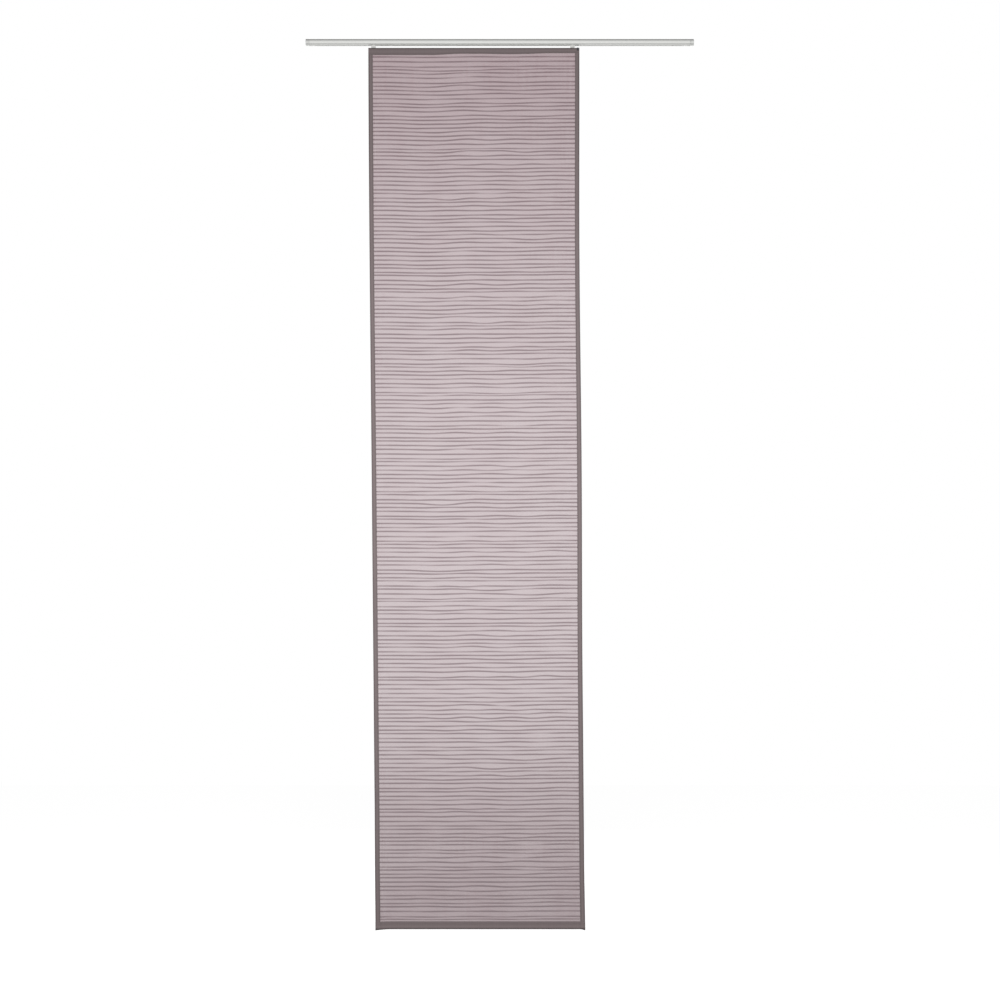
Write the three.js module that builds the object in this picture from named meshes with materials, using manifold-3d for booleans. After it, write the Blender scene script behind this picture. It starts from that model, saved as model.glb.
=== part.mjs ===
// Sliding panel curtain: a sheer, finely ribbed cloth panel on gliders in a slotted round rail.
// Millimetres, +X along the rail to the right, -Y towards the room, +Z up.
// The origin is the middle of the rail's flat top, which lies against the ceiling.
import * as THREE from "three";
import { mergeVertices } from "three/addons/utils/BufferGeometryUtils.js";
import Module from "manifold-3d";

const wasm = await Module();
wasm.setup();

// Clearances and mesh fineness
const JOINT_GAP = 0.3; // between separate pieces that meet
const SOCKET_FIT = 0.1; // around a piece pushed into its socket
const MERGE_TOLERANCE = 1e-4;
const ROUND_SEGMENTS = 10; // per arc of a rail section
const SMALL_SEGMENTS = 3; // per rounded corner of a small piece
const SCREW_SEGMENTS = 20;
const OVERSHOOT = 1; // how far a cutting tool runs past the faces it opens

// Rail: a round tube with a flat top and a slot along its underside
const RAIL_LENGTH = 1070;
const RAIL_DIAMETER = 19;
const RAIL_WALL = 1.3;
const RAIL_FLAT = 9;
const RAIL_ROOF = 1.8; // thickness under the flat top
const SLOT_WIDTH = 6;
const LEDGE_HEIGHT = 3.2; // running ledge above the rail's lowest point
const FIXING_HOLE = 4.2;
const FIXING_NEAR = 160; // screw holes in the flat top, from the middle of the rail
const FIXING_FAR = 475;

// Rail end caps
const END_CAP_LENGTH = 10;
const END_CAP_BEVEL = 0.7;
const END_CAP_STUB = 8;

// End stops, each with a set screw that jams it under the rail's roof
const STOP_LENGTH = 8;
const STOP_WIDTH = 9;
const STOP_HEIGHT = 7;
const STOP_TONGUE = 2.4; // how far the stop reaches down into the slot
const SET_SCREW = 3;
const SET_SCREW_LENGTH = 12.4;
const SET_SCREW_SOCKET = 1.5;
const SET_SCREW_SOCKET_DEPTH = 2;

// Gliders
const GLIDER_HEAD_LENGTH = 22;
const GLIDER_HEAD_WIDTH = 9.4;
const GLIDER_HEAD_HEIGHT = 3.5;
const GLIDER_BODY_LENGTH = 12;
const GLIDER_SIDE_PLAY = 0.4; // between the neck and each side of the slot
const GLIDER_COLLAR_WIDTH = 8;
const GLIDER_COLLAR_DROP = 1.4; // collar below the rail's lowest point
const GLIDER_FOOT_HEIGHT = 1.6;
const GLIDER_INSET_LEFT = 9.5; // from the carrier's end to the glider's middle
const GLIDER_INSET_RIGHT = 14;
const GLIDER_ROUNDING = 2;

// Cloth panel
const CLOTH_WIDTH = 591;
const CLOTH_HEIGHT = 2475;
const CLOTH_OFFSET = -73; // middle of the cloth's top edge from the middle of the rail
const CLOTH_DROP = 7.5; // cloth's top edge below the rail's lowest point
const BACK_PLY = 0.6;
const FOLD_GAP = 0.4;
const FRONT_PLY = 1;
const TOP_HEM_LEFT = 17.4;
const TOP_HEM_RIGHT = 14.4;
const SIDE_HEM_TOP = 12.2;
const SIDE_HEM_BOTTOM = 13.8;
const HEM_OVERLAP = 5; // how far the ribbed field runs into each hem

// Panel carrier: an extruded strip with a T-groove along its top for the gliders' feet
const CARRIER_SETBACK = 4; // from the cloth's edge to the carrier's end
const CARRIER_LENGTH = CLOTH_WIDTH - 2 * CARRIER_SETBACK;
const CARRIER_HEIGHT = 13;
const CARRIER_HEAD_HEIGHT = 5.5;
const CARRIER_DEPTH = 6;
const CARRIER_FLANGE = 1.6;
const GROOVE_MOUTH = 3;
const GROOVE_LIP = 1.1;
const GROOVE_WIDTH = 4.6;
const GROOVE_HEIGHT = 2.4;
const CARRIER_CAP_LENGTH = 5;
const CARRIER_CAP_LIP = 1.2; // the cap above the carrier's top

// Hook and loop tapes
const TAPE_SETBACK = 1.5; // from the carrier's end to the end of a tape
const TAPE_LENGTH = CARRIER_LENGTH - 2 * TAPE_SETBACK;
const TAPE_HEIGHT = 10;
const TAPE_THICKNESS = 1;
const TAPE_DROP = 1.5; // below the carrier's top

// How the cloth hangs: its sides lean to the right, and its lower corners droop past the bar
const LEAN_LEFT = 20.4;
const LEAN_LEFT_POWER = 1.15;
const LEAN_RIGHT = 17.7;
const LEAN_RIGHT_POWER = 1.35;
const SIDE_STEPS = 10; // straight stretches that follow the leaning side
const CORNER_DROOP = 3.4;
const DROOP_REACH = 60; // the droop fades out this far above the bottom edge
const DROOP_STEPS = 4;

// Ribs: wavy lines across the field, each a soft slope that ends in a sharp step
const RIB_PITCH = 11.6;
const RIB_FOOT = 0.3; // cloth thickness at the foot of a rib
const RIB_RELIEF = 0.6;
const RIB_STEP = 2; // height of the sharp step
const RIB_MARGIN = 4; // plain cloth between a hem and the first rib
const CALM_LEFT = 98; // the ribs run level this far in from the cloth's edge
const CALM_RIGHT = 30;
const WAVE_CELLS = 6;
const SWELL_HEIGHT = 3.2; // wave that neighbouring ribs share
const SWELL_LENGTH = 262;
const SWELL_DRIFT = 410; // how far down the cloth the wave slips by a radian
const RIPPLE_HEIGHT = 1.7; // wave of each rib by itself
const RIPPLE_LENGTH = 190;
const RIPPLE_TURN = 2.4; // phase from one rib to the next, in radians
const WAVE_FADE = 70; // the waves die out over this height at the top and the bottom

// Weight bar in the bottom pocket
const BAR_HEIGHT = 17;
const BAR_THICKNESS = 2.2;
const BAR_ROUNDING = 1;
const BAR_CAP_WALL = 0.5;
const BAR_CAP_LENGTH = 14;
const BAR_CAP_SOCKET = 10;
const BAR_INSET_LEFT = 48; // from the cloth's edge to the outer end of the bar's cap
const BAR_INSET_RIGHT = 17;
const POCKET_PLY = 0.6;
const POCKET_SEAM = 2.6;
const POCKET_SEAM_TOP = 1.6; // thickness of the pocket where it meets the field

// Heights and depths that follow from the driving dimensions
const railRadius = RAIL_DIAMETER / 2;
const railAxis = -Math.sqrt(railRadius ** 2 - (RAIL_FLAT / 2) ** 2);
const railBottom = railAxis - railRadius;
const roofUnderside = -RAIL_ROOF;
const ledgeTop = railBottom + LEDGE_HEIGHT;
const railEnd = RAIL_LENGTH / 2;

const clothTop = railBottom - CLOTH_DROP;
const clothBottom = clothTop - CLOTH_HEIGHT;
const clothLeft = CLOTH_OFFSET - CLOTH_WIDTH / 2;
const clothRight = CLOTH_OFFSET + CLOTH_WIDTH / 2;
const carrierFront = -CARRIER_DEPTH / 2;
const clothBack = carrierFront - 2 * TAPE_THICKNESS;
const plyBack = clothBack - BACK_PLY - FOLD_GAP; // back of the front ply and of the field
const clothFront = plyBack - FRONT_PLY;

const barCapHeight = BAR_HEIGHT + 2 * (SOCKET_FIT + BAR_CAP_WALL);
const barCapThickness = BAR_THICKNESS + 2 * (SOCKET_FIT + BAR_CAP_WALL);
const pocketHoleHeight = barCapHeight + 2 * JOINT_GAP;
const pocketHoleWidth = barCapThickness + 2 * JOINT_GAP;
const pocketHeight = POCKET_PLY + pocketHoleHeight + POCKET_SEAM;
const pocketTop = clothBottom + pocketHeight;
const pocketMiddle = (plyBack + clothFront) / 2;
const barMiddle = clothBottom + POCKET_PLY + pocketHoleHeight / 2;

// Materials
const aluminium = new THREE.MeshStandardMaterial({ color: 0xc8c9c2, metalness: 0.9, roughness: 0.38 });
const greyPlastic = new THREE.MeshStandardMaterial({ color: 0xb4b5b0, metalness: 0.1, roughness: 0.5 });
const darkPlastic = new THREE.MeshStandardMaterial({ color: 0x37363a, metalness: 0, roughness: 0.55 });
const whitePlastic = new THREE.MeshStandardMaterial({ color: 0xeeeeea, metalness: 0, roughness: 0.45 });
const steel = new THREE.MeshStandardMaterial({ color: 0x8d8e90, metalness: 1, roughness: 0.4 });
const paintedSteel = new THREE.MeshStandardMaterial({ color: 0xe6e6e2, metalness: 0.1, roughness: 0.5 });
const hookTapeFinish = new THREE.MeshStandardMaterial({ color: 0xdcdcd8, metalness: 0, roughness: 0.95 });
const loopTapeFinish = new THREE.MeshStandardMaterial({ color: 0x8a7e80, metalness: 0, roughness: 1 });
const sheerCloth = new THREE.MeshStandardMaterial({ color: 0xb8a7aa, metalness: 0, roughness: 0.95 });

// Joining and cutting closed geometries
function solidOf(geometry) {
  const bare = geometry.clone();
  bare.deleteAttribute("normal");
  bare.deleteAttribute("uv");
  const merged = mergeVertices(bare, MERGE_TOLERANCE);
  const mesh = new wasm.Mesh({
    numProp: 3,
    vertProperties: new Float32Array(merged.attributes.position.array),
    triVerts: new Uint32Array(merged.index.array),
  });
  return new wasm.Manifold(mesh);
}

function geometryOf(solid) {
  const mesh = solid.getMesh();
  const geometry = new THREE.BufferGeometry();
  geometry.setAttribute("position", new THREE.BufferAttribute(mesh.vertProperties, 3));
  geometry.setIndex(new THREE.BufferAttribute(mesh.triVerts, 1));
  return geometry;
}

function join(...geometries) {
  return geometryOf(geometries.map(solidOf).reduce((whole, piece) => whole.add(piece)));
}

function cut(body, ...tools) {
  return geometryOf(tools.map(solidOf).reduce((whole, tool) => whole.subtract(tool), solidOf(body)));
}

// Extrudes a section drawn in the Y-Z plane along X, through the given stations.
function alongX(section, stations, options = {}) {
  const steps = stations.length - 1;
  const geometry = new THREE.ExtrudeGeometry(section, {
    depth: steps,
    steps,
    bevelEnabled: false,
    curveSegments: SMALL_SEGMENTS,
    ...options,
  });
  const local = geometry.attributes.position;
  for (let i = 0; i < local.count; i++) {
    const station = stations[Math.round(local.getZ(i))];
    local.setXYZ(i, station, local.getX(i), local.getY(i));
  }
  return geometry;
}

// Mirrors a geometry in the plane X = 0 and turns its faces outwards again.
function mirroredX(geometry) {
  const mirrored = geometry.clone().scale(-1, 1, 1);
  const index = mirrored.index;
  for (let i = 0; i < index.count; i += 3) {
    const first = index.getX(i);
    index.setX(i, index.getX(i + 1));
    index.setX(i + 1, first);
  }
  return mirrored;
}

// A rectangle with rounded corners, centred on a point of the drawing plane.
function roundedRectangle(width, height, radius, middleX = 0, middleY = 0) {
  const left = middleX - width / 2;
  const right = middleX + width / 2;
  const low = middleY - height / 2;
  const high = middleY + height / 2;
  const shape = new THREE.Shape();
  shape.moveTo(left + radius, low);
  shape.lineTo(right - radius, low);
  shape.absarc(right - radius, low + radius, radius, -Math.PI / 2, 0);
  shape.lineTo(right, high - radius);
  shape.absarc(right - radius, high - radius, radius, 0, Math.PI / 2);
  shape.lineTo(left + radius, high);
  shape.absarc(left + radius, high - radius, radius, Math.PI / 2, Math.PI);
  shape.lineTo(left, low + radius);
  shape.absarc(left + radius, low + radius, radius, Math.PI, 1.5 * Math.PI);
  return shape;
}

// A block with rounded upright edges between two heights, centred over X = Y = 0.
function uprightBlock(length, width, radius, low, high) {
  const geometry = new THREE.ExtrudeGeometry(roundedRectangle(length, width, radius), {
    depth: high - low,
    bevelEnabled: false,
    curveSegments: SMALL_SEGMENTS,
  });
  return geometry.translate(0, 0, low);
}

function boxBetween(lowX, highX, lowY, highY, lowZ, highZ) {
  const box = new THREE.BoxGeometry(highX - lowX, highY - lowY, highZ - lowZ);
  return box.translate((lowX + highX) / 2, (lowY + highY) / 2, (lowZ + highZ) / 2);
}

function uprightCylinder(diameter, low, high, segments = SCREW_SEGMENTS) {
  const cylinder = new THREE.CylinderGeometry(diameter / 2, diameter / 2, high - low, segments);
  return cylinder.rotateX(Math.PI / 2).translate(0, 0, (low + high) / 2);
}

// Outside of the rail: a circle whose top is cut off level.
function railOutline() {
  const flatAngle = Math.acos(RAIL_FLAT / 2 / railRadius);
  const shape = new THREE.Shape();
  shape.absarc(0, railAxis, railRadius, Math.PI - flatAngle, 2 * Math.PI + flatAngle);
  return shape;
}

// Inside of the rail: a circle cut off level by the roof and by the running ledges.
function channelOutline(gap) {
  const radius = railRadius - RAIL_WALL - gap;
  const roofAngle = Math.asin((roofUnderside - gap - railAxis) / radius);
  const ledgeAngle = Math.asin((ledgeTop + gap - railAxis) / radius);
  const shape = new THREE.Shape();
  shape.absarc(0, railAxis, radius, ledgeAngle, roofAngle);
  shape.absarc(0, railAxis, radius, Math.PI - roofAngle, Math.PI - ledgeAngle);
  return shape;
}

function railGeometry() {
  const fine = { curveSegments: ROUND_SEGMENTS };
  const past = railEnd + OVERSHOOT;
  const tube = alongX(railOutline(), [-railEnd, railEnd], { curveSegments: 2 * ROUND_SEGMENTS });
  const channel = alongX(channelOutline(0), [-past, past], fine);
  const slot = boxBetween(
    -past, past, -SLOT_WIDTH / 2, SLOT_WIDTH / 2, railBottom - OVERSHOOT, ledgeTop + OVERSHOOT,
  );
  const holes = [-FIXING_FAR, -FIXING_NEAR, FIXING_NEAR, FIXING_FAR].map((x) =>
    uprightCylinder(FIXING_HOLE, roofUnderside - OVERSHOOT, OVERSHOOT).translate(x, 0, 0),
  );
  return cut(tube, channel, slot, ...holes);
}

// Cap for the right end of the rail: a bevelled plug head and a stub inside the channel.
function endCapGeometry() {
  const inner = railEnd + JOINT_GAP;
  const head = new THREE.ExtrudeGeometry(railOutline(), {
    depth: END_CAP_LENGTH - 2 * END_CAP_BEVEL,
    bevelThickness: END_CAP_BEVEL,
    bevelSize: END_CAP_BEVEL,
    bevelOffset: -END_CAP_BEVEL,
    bevelSegments: 2,
    curveSegments: 2 * ROUND_SEGMENTS,
  });
  const alongRail = new THREE.Matrix4().makeBasis(
    new THREE.Vector3(0, 1, 0), new THREE.Vector3(0, 0, 1), new THREE.Vector3(1, 0, 0),
  );
  head.applyMatrix4(alongRail).translate(inner + END_CAP_BEVEL, 0, 0);
  const stub = alongX(channelOutline(JOINT_GAP), [railEnd - END_CAP_STUB, inner + OVERSHOOT], {
    curveSegments: ROUND_SEGMENTS / 2,
  });
  return join(head, stub);
}

// The stops stand against the caps' stubs, at the middle of their own length.
const stopMiddle = railEnd - END_CAP_STUB - JOINT_GAP - STOP_LENGTH / 2;

function endStopGeometry() {
  const low = ledgeTop + JOINT_GAP;
  const block = uprightBlock(STOP_LENGTH, STOP_WIDTH, OVERSHOOT, low, low + STOP_HEIGHT);
  const tongue = boxBetween(
    -STOP_LENGTH / 2, STOP_LENGTH / 2,
    GLIDER_SIDE_PLAY - SLOT_WIDTH / 2, SLOT_WIDTH / 2 - GLIDER_SIDE_PLAY,
    ledgeTop - STOP_TONGUE, low + OVERSHOOT,
  );
  const thread = uprightCylinder(
    SET_SCREW + 2 * SOCKET_FIT, railBottom, low + STOP_HEIGHT + OVERSHOOT,
  );
  return cut(join(block, tongue), thread).translate(stopMiddle, 0, 0);
}

function setScrewGeometry() {
  const high = roofUnderside - JOINT_GAP;
  const low = high - SET_SCREW_LENGTH;
  const shank = uprightCylinder(SET_SCREW, low, high);
  const socket = uprightCylinder(SET_SCREW_SOCKET, low - OVERSHOOT, low + SET_SCREW_SOCKET_DEPTH, 6);
  return cut(shank, socket).translate(stopMiddle, 0, 0);
}

// A glider: a head on the ledges, a neck through the slot, a collar below the rail and a
// T-shaped foot in the carrier's groove.
function gliderGeometry() {
  const headLow = ledgeTop + JOINT_GAP;
  const head = uprightBlock(
    GLIDER_HEAD_LENGTH, GLIDER_HEAD_WIDTH, GLIDER_ROUNDING, headLow, headLow + GLIDER_HEAD_HEIGHT,
  );
  const collarHigh = railBottom - GLIDER_COLLAR_DROP;
  const collarLow = clothTop + JOINT_GAP;
  const neckWidth = SLOT_WIDTH - 2 * GLIDER_SIDE_PLAY;
  const neck = uprightBlock(
    GLIDER_BODY_LENGTH, neckWidth, GLIDER_ROUNDING, collarLow + OVERSHOOT, headLow + OVERSHOOT,
  );
  const collar = uprightBlock(
    GLIDER_BODY_LENGTH, GLIDER_COLLAR_WIDTH, GLIDER_ROUNDING, collarLow, collarHigh,
  );
  const footTop = clothTop - GROOVE_LIP - JOINT_GAP;
  const footLow = footTop - GLIDER_FOOT_HEIGHT;
  const stem = uprightBlock(
    GLIDER_BODY_LENGTH, GROOVE_MOUTH - 2 * JOINT_GAP, SOCKET_FIT, footLow, collarLow + OVERSHOOT,
  );
  const foot = uprightBlock(
    GLIDER_BODY_LENGTH, GROOVE_WIDTH - 2 * JOINT_GAP, SOCKET_FIT, footLow, footTop,
  );
  return join(head, neck, collar, stem, foot);
}

// Carrier section: a head with a T-groove and a thin flange along its front.
function carrierOutline() {
  const front = carrierFront;
  const back = CARRIER_DEPTH / 2;
  const low = clothTop - CARRIER_HEIGHT;
  const headLow = clothTop - CARRIER_HEAD_HEIGHT;
  const chamberTop = clothTop - GROOVE_LIP;
  const chamberLow = chamberTop - GROOVE_HEIGHT;
  const corners = [
    [front, low], [front + CARRIER_FLANGE, low], [front + CARRIER_FLANGE, headLow], [back, headLow],
    [back, clothTop], [GROOVE_MOUTH / 2, clothTop], [GROOVE_MOUTH / 2, chamberTop],
    [GROOVE_WIDTH / 2, chamberTop], [GROOVE_WIDTH / 2, chamberLow], [-GROOVE_WIDTH / 2, chamberLow],
    [-GROOVE_WIDTH / 2, chamberTop], [-GROOVE_MOUTH / 2, chamberTop], [-GROOVE_MOUTH / 2, clothTop],
    [front, clothTop],
  ];
  return new THREE.Shape(corners.map(([y, z]) => new THREE.Vector2(y, z)));
}

// Cap for the right end of the carrier, drawn with the carrier's middle at X = 0. Its tongue
// fills the groove up to the nearer glider.
function carrierCapGeometry() {
  const inner = CARRIER_LENGTH / 2;
  const nearerGlider = inner - Math.min(GLIDER_INSET_LEFT, GLIDER_INSET_RIGHT);
  const gliderOuterEnd = nearerGlider + GLIDER_BODY_LENGTH / 2;
  const plate = boxBetween(
    inner, inner + CARRIER_CAP_LENGTH, carrierFront, CARRIER_DEPTH / 2,
    clothTop - CARRIER_HEIGHT, clothTop + CARRIER_CAP_LIP,
  );
  const chamberTop = clothTop - GROOVE_LIP;
  const tongue = boxBetween(
    gliderOuterEnd + JOINT_GAP, inner + OVERSHOOT,
    SOCKET_FIT - GROOVE_WIDTH / 2, GROOVE_WIDTH / 2 - SOCKET_FIT,
    chamberTop - GROOVE_HEIGHT + SOCKET_FIT, chamberTop - SOCKET_FIT,
  );
  return join(plate, tongue);
}

function tapeGeometry(front) {
  const top = clothTop - TAPE_DROP;
  return boxBetween(
    CLOTH_OFFSET - TAPE_LENGTH / 2, CLOTH_OFFSET + TAPE_LENGTH / 2,
    front, front + TAPE_THICKNESS, top - TAPE_HEIGHT, top,
  );
}

// Share of the way down the cloth, from 0 at the top edge to 1 at the bottom edge.
function shareDown(z) {
  return THREE.MathUtils.clamp((clothTop - z) / CLOTH_HEIGHT, 0, 1);
}

// How far the cloth at a point of the flat pattern hangs sideways.
function leanAt(x, z) {
  const down = shareDown(z);
  const across = (x - clothLeft) / CLOTH_WIDTH;
  const left = LEAN_LEFT * down ** LEAN_LEFT_POWER;
  const right = LEAN_RIGHT * down ** LEAN_RIGHT_POWER;
  return THREE.MathUtils.lerp(left, right, across);
}

// How far a lower corner sinks: a parabola beyond the end of the weight bar.
function droopAt(x, z) {
  const left = Math.max(0, 1 - (x - clothLeft) / BAR_INSET_LEFT);
  const right = Math.max(0, 1 - (clothRight - x) / BAR_INSET_RIGHT);
  const fade = THREE.MathUtils.clamp(1 - (z - clothBottom) / DROOP_REACH, 0, 1);
  return CORNER_DROOP * fade * (left ** 2 + right ** 2);
}

// Height of the waves at a point of the field, which the ribs follow.
function waveAt(x, z) {
  const start = clothLeft + CALM_LEFT;
  const end = clothRight - CALM_RIGHT;
  const inside = THREE.MathUtils.clamp((x - start) / (end - start), 0, 1);
  const window = Math.sqrt(Math.sin(Math.PI * inside));
  const edge = Math.min(clothTop - z, z - clothBottom) / WAVE_FADE;
  const rib = Math.round((clothTop - z) / RIB_PITCH);
  const swell = Math.sin((2 * Math.PI * x) / SWELL_LENGTH + z / SWELL_DRIFT);
  const ripple = Math.sin((2 * Math.PI * x) / RIPPLE_LENGTH + rib * RIPPLE_TURN);
  return Math.min(1, edge) * window * (SWELL_HEIGHT * swell + RIPPLE_HEIGHT * ripple);
}

// The ribbed field: a saw-toothed section, extruded across and shifted to follow the waves.
function fieldGeometry() {
  const high = clothTop - Math.min(TOP_HEM_LEFT, TOP_HEM_RIGHT) / 2;
  const low = pocketTop - POCKET_SEAM / 2;
  const firstRib = clothTop - Math.max(TOP_HEM_LEFT, TOP_HEM_RIGHT) - RIB_MARGIN;
  const count = Math.floor((firstRib - pocketTop - RIB_MARGIN) / RIB_PITCH);
  const footY = plyBack - RIB_FOOT;
  const crestY = footY - RIB_RELIEF;
  const outline = [[plyBack, high], [footY, high]];
  for (let rib = 0; rib < count; rib++) {
    const crest = firstRib - rib * RIB_PITCH;
    outline.push([crestY, crest], [footY, crest - RIB_STEP]);
  }
  outline.push([footY, low], [plyBack, low]);
  const section = new THREE.Shape(outline.map(([y, z]) => new THREE.Vector2(y, z)));
  const start = clothLeft + CALM_LEFT;
  const cell = (CLOTH_WIDTH - CALM_LEFT - CALM_RIGHT) / WAVE_CELLS;
  const stations = [clothLeft + SIDE_HEM_TOP - HEM_OVERLAP];
  for (let i = 0; i <= WAVE_CELLS; i++) stations.push(start + i * cell);
  stations.push(clothRight - SIDE_HEM_TOP + HEM_OVERLAP);
  const field = alongX(section, stations);
  const points = field.attributes.position;
  for (let i = 0; i < points.count; i++) {
    const z = points.getZ(i);
    if (z > low && z < high) points.setZ(i, z + waveAt(points.getX(i), z));
  }
  return field;
}

// A folded edge in section: a front ply and a back ply, joined along the fold.
// The section runs from the fold at 0 inwards along the first axis of the drawing.
function foldOutline(width) {
  return [
    [0, clothBack], [width, clothBack], [width, clothBack - BACK_PLY], [BACK_PLY, clothBack - BACK_PLY],
    [BACK_PLY, plyBack], [width, plyBack], [width, clothFront], [0, clothFront],
  ];
}

// Side hem: the folded section carried down the cloth, a little wider at the bottom.
function sideHemGeometry(edge, inwards) {
  const shape = new THREE.Shape(foldOutline(SIDE_HEM_TOP).map(([x, y]) => new THREE.Vector2(x, y)));
  const hem = new THREE.ExtrudeGeometry(shape, {
    depth: CLOTH_HEIGHT - pocketHeight / 2,
    steps: SIDE_STEPS,
    bevelEnabled: false,
  });
  hem.translate(0, 0, clothBottom + pocketHeight / 2);
  const points = hem.attributes.position;
  for (let i = 0; i < points.count; i++) {
    const widening = (SIDE_HEM_BOTTOM / SIDE_HEM_TOP - 1) * shareDown(points.getZ(i));
    points.setX(i, points.getX(i) * (1 + widening));
  }
  const placed = geometryOf(solidOf(hem));
  return (inwards > 0 ? placed : mirroredX(placed)).translate(edge, 0, 0);
}

// Top hem: the same folded section along the top edge, narrower to the right.
function topHemGeometry() {
  const corners = foldOutline(TOP_HEM_LEFT).map(([drop, y]) => new THREE.Vector2(y, clothTop - drop));
  const hem = alongX(new THREE.Shape(corners), [clothLeft, clothRight]);
  const points = hem.attributes.position;
  for (let i = 0; i < points.count; i++) {
    const drop = clothTop - points.getZ(i);
    const atRight = points.getX(i) > CLOTH_OFFSET;
    if (atRight) points.setZ(i, clothTop - (drop * TOP_HEM_RIGHT) / TOP_HEM_LEFT);
  }
  return hem;
}

// Bottom pocket: a flat tube around the bar, open at both ends, under a sewn seam.
function pocketGeometry() {
  const outerWidth = pocketHoleWidth + 2 * POCKET_PLY;
  const seamLow = pocketTop - POCKET_SEAM;
  const front = pocketMiddle - outerWidth / 2;
  const back = pocketMiddle + outerWidth / 2;
  const outer = new THREE.Shape();
  outer.moveTo(pocketMiddle + POCKET_SEAM_TOP / 2, pocketTop);
  outer.lineTo(pocketMiddle - POCKET_SEAM_TOP / 2, pocketTop);
  outer.quadraticCurveTo(front, pocketTop, front, seamLow);
  outer.lineTo(front, clothBottom + outerWidth / 2);
  outer.absarc(pocketMiddle, clothBottom + outerWidth / 2, outerWidth / 2, Math.PI, 2 * Math.PI);
  outer.lineTo(back, seamLow);
  outer.quadraticCurveTo(back, pocketTop, pocketMiddle + POCKET_SEAM_TOP / 2, pocketTop);
  const rounding = pocketHoleWidth / 2 - SOCKET_FIT;
  outer.holes.push(
    roundedRectangle(pocketHoleWidth, pocketHoleHeight, rounding, pocketMiddle, barMiddle),
  );
  const stations = [];
  for (let i = 0; i <= DROOP_STEPS; i++) stations.push(clothLeft + (i / DROOP_STEPS) * BAR_INSET_LEFT);
  for (let i = DROOP_STEPS; i >= 0; i--) stations.push(clothRight - (i / DROOP_STEPS) * BAR_INSET_RIGHT);
  return alongX(outer, stations);
}

function clothGeometry() {
  const cloth = join(
    fieldGeometry(),
    sideHemGeometry(clothLeft, 1),
    sideHemGeometry(clothRight, -1),
    topHemGeometry(),
    pocketGeometry(),
  );
  const points = cloth.attributes.position;
  for (let i = 0; i < points.count; i++) {
    const x = points.getX(i);
    const z = points.getZ(i);
    points.setX(i, x + leanAt(x, z));
    points.setZ(i, z - droopAt(x, z));
  }
  return cloth;
}

// Bar and caps, placed along the leaning bottom edge.
const barLeft = clothLeft + LEAN_LEFT + BAR_INSET_LEFT;
const barRight = clothRight + LEAN_RIGHT - BAR_INSET_RIGHT;
const barWall = BAR_CAP_LENGTH - BAR_CAP_SOCKET; // closed end of a cap

function weightBarGeometry() {
  const section = roundedRectangle(BAR_THICKNESS, BAR_HEIGHT, BAR_ROUNDING, pocketMiddle, barMiddle);
  return alongX(section, [barLeft + barWall + SOCKET_FIT, barRight - barWall - SOCKET_FIT]);
}

function barCapGeometry(outer, inwards) {
  const section = roundedRectangle(
    barCapThickness, barCapHeight, barCapThickness / 2 - SOCKET_FIT, pocketMiddle, barMiddle,
  );
  const socket = roundedRectangle(
    BAR_THICKNESS + 2 * SOCKET_FIT, BAR_HEIGHT + 2 * SOCKET_FIT, BAR_ROUNDING, pocketMiddle, barMiddle,
  );
  const ends = [outer, outer + inwards * BAR_CAP_LENGTH].sort((a, b) => a - b);
  const hollow = [outer + inwards * barWall, outer + inwards * (BAR_CAP_LENGTH + OVERSHOOT)];
  return cut(alongX(section, ends), alongX(socket, hollow.sort((a, b) => a - b)));
}

// The assembly: what is fixed to the ceiling, and what slides along the rail
const curtain = new THREE.Group();
const track = new THREE.Group();
const panel = new THREE.Group();
curtain.add(track, panel);

function addMesh(group, name, geometry, material, x = 0) {
  const mesh = new THREE.Mesh(geometry, material);
  mesh.name = name;
  mesh.position.x = x;
  group.add(mesh);
}

addMesh(track, "rail", railGeometry(), aluminium);
addMesh(track, "end_cap_right", endCapGeometry(), greyPlastic);
addMesh(track, "end_cap_left", mirroredX(endCapGeometry()), greyPlastic);
addMesh(track, "end_stop_right", endStopGeometry(), whitePlastic);
addMesh(track, "end_stop_left", mirroredX(endStopGeometry()), whitePlastic);
addMesh(track, "stop_screw_right", setScrewGeometry(), steel);
addMesh(track, "stop_screw_left", mirroredX(setScrewGeometry()), steel);

const carrierLeft = clothLeft + CARRIER_SETBACK;
const carrierRight = carrierLeft + CARRIER_LENGTH;
addMesh(panel, "glider_left", gliderGeometry(), whitePlastic, carrierLeft + GLIDER_INSET_LEFT);
addMesh(panel, "glider_right", gliderGeometry(), whitePlastic, carrierRight - GLIDER_INSET_RIGHT);
addMesh(panel, "panel_carrier", alongX(carrierOutline(), [carrierLeft, carrierRight]), aluminium);
addMesh(panel, "carrier_cap_right", carrierCapGeometry(), darkPlastic, CLOTH_OFFSET);
addMesh(panel, "carrier_cap_left", mirroredX(carrierCapGeometry()), darkPlastic, CLOTH_OFFSET);
addMesh(panel, "hook_tape", tapeGeometry(carrierFront - TAPE_THICKNESS), hookTapeFinish);
addMesh(panel, "loop_tape", tapeGeometry(clothBack), loopTapeFinish);
addMesh(panel, "panel_cloth", clothGeometry(), sheerCloth);
addMesh(panel, "weight_bar", weightBarGeometry(), paintedSteel);
addMesh(panel, "bar_cap_left", barCapGeometry(barLeft, 1), whitePlastic);
addMesh(panel, "bar_cap_right", barCapGeometry(barRight, -1), whitePlastic);

export default curtain;
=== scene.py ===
"""Sliding panel curtain: a sheer ribbed cloth panel on gliders under a slotted round rail.

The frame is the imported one: metres, +X along the rail to the right, -Y towards the room, +Z up,
with the origin in the middle of the rail's flat top. Sizes below are in millimetres, and a piece
is brought to metres when its mesh is made.
"""

import logging
import math
from dataclasses import dataclass, field
from enum import Enum

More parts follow.
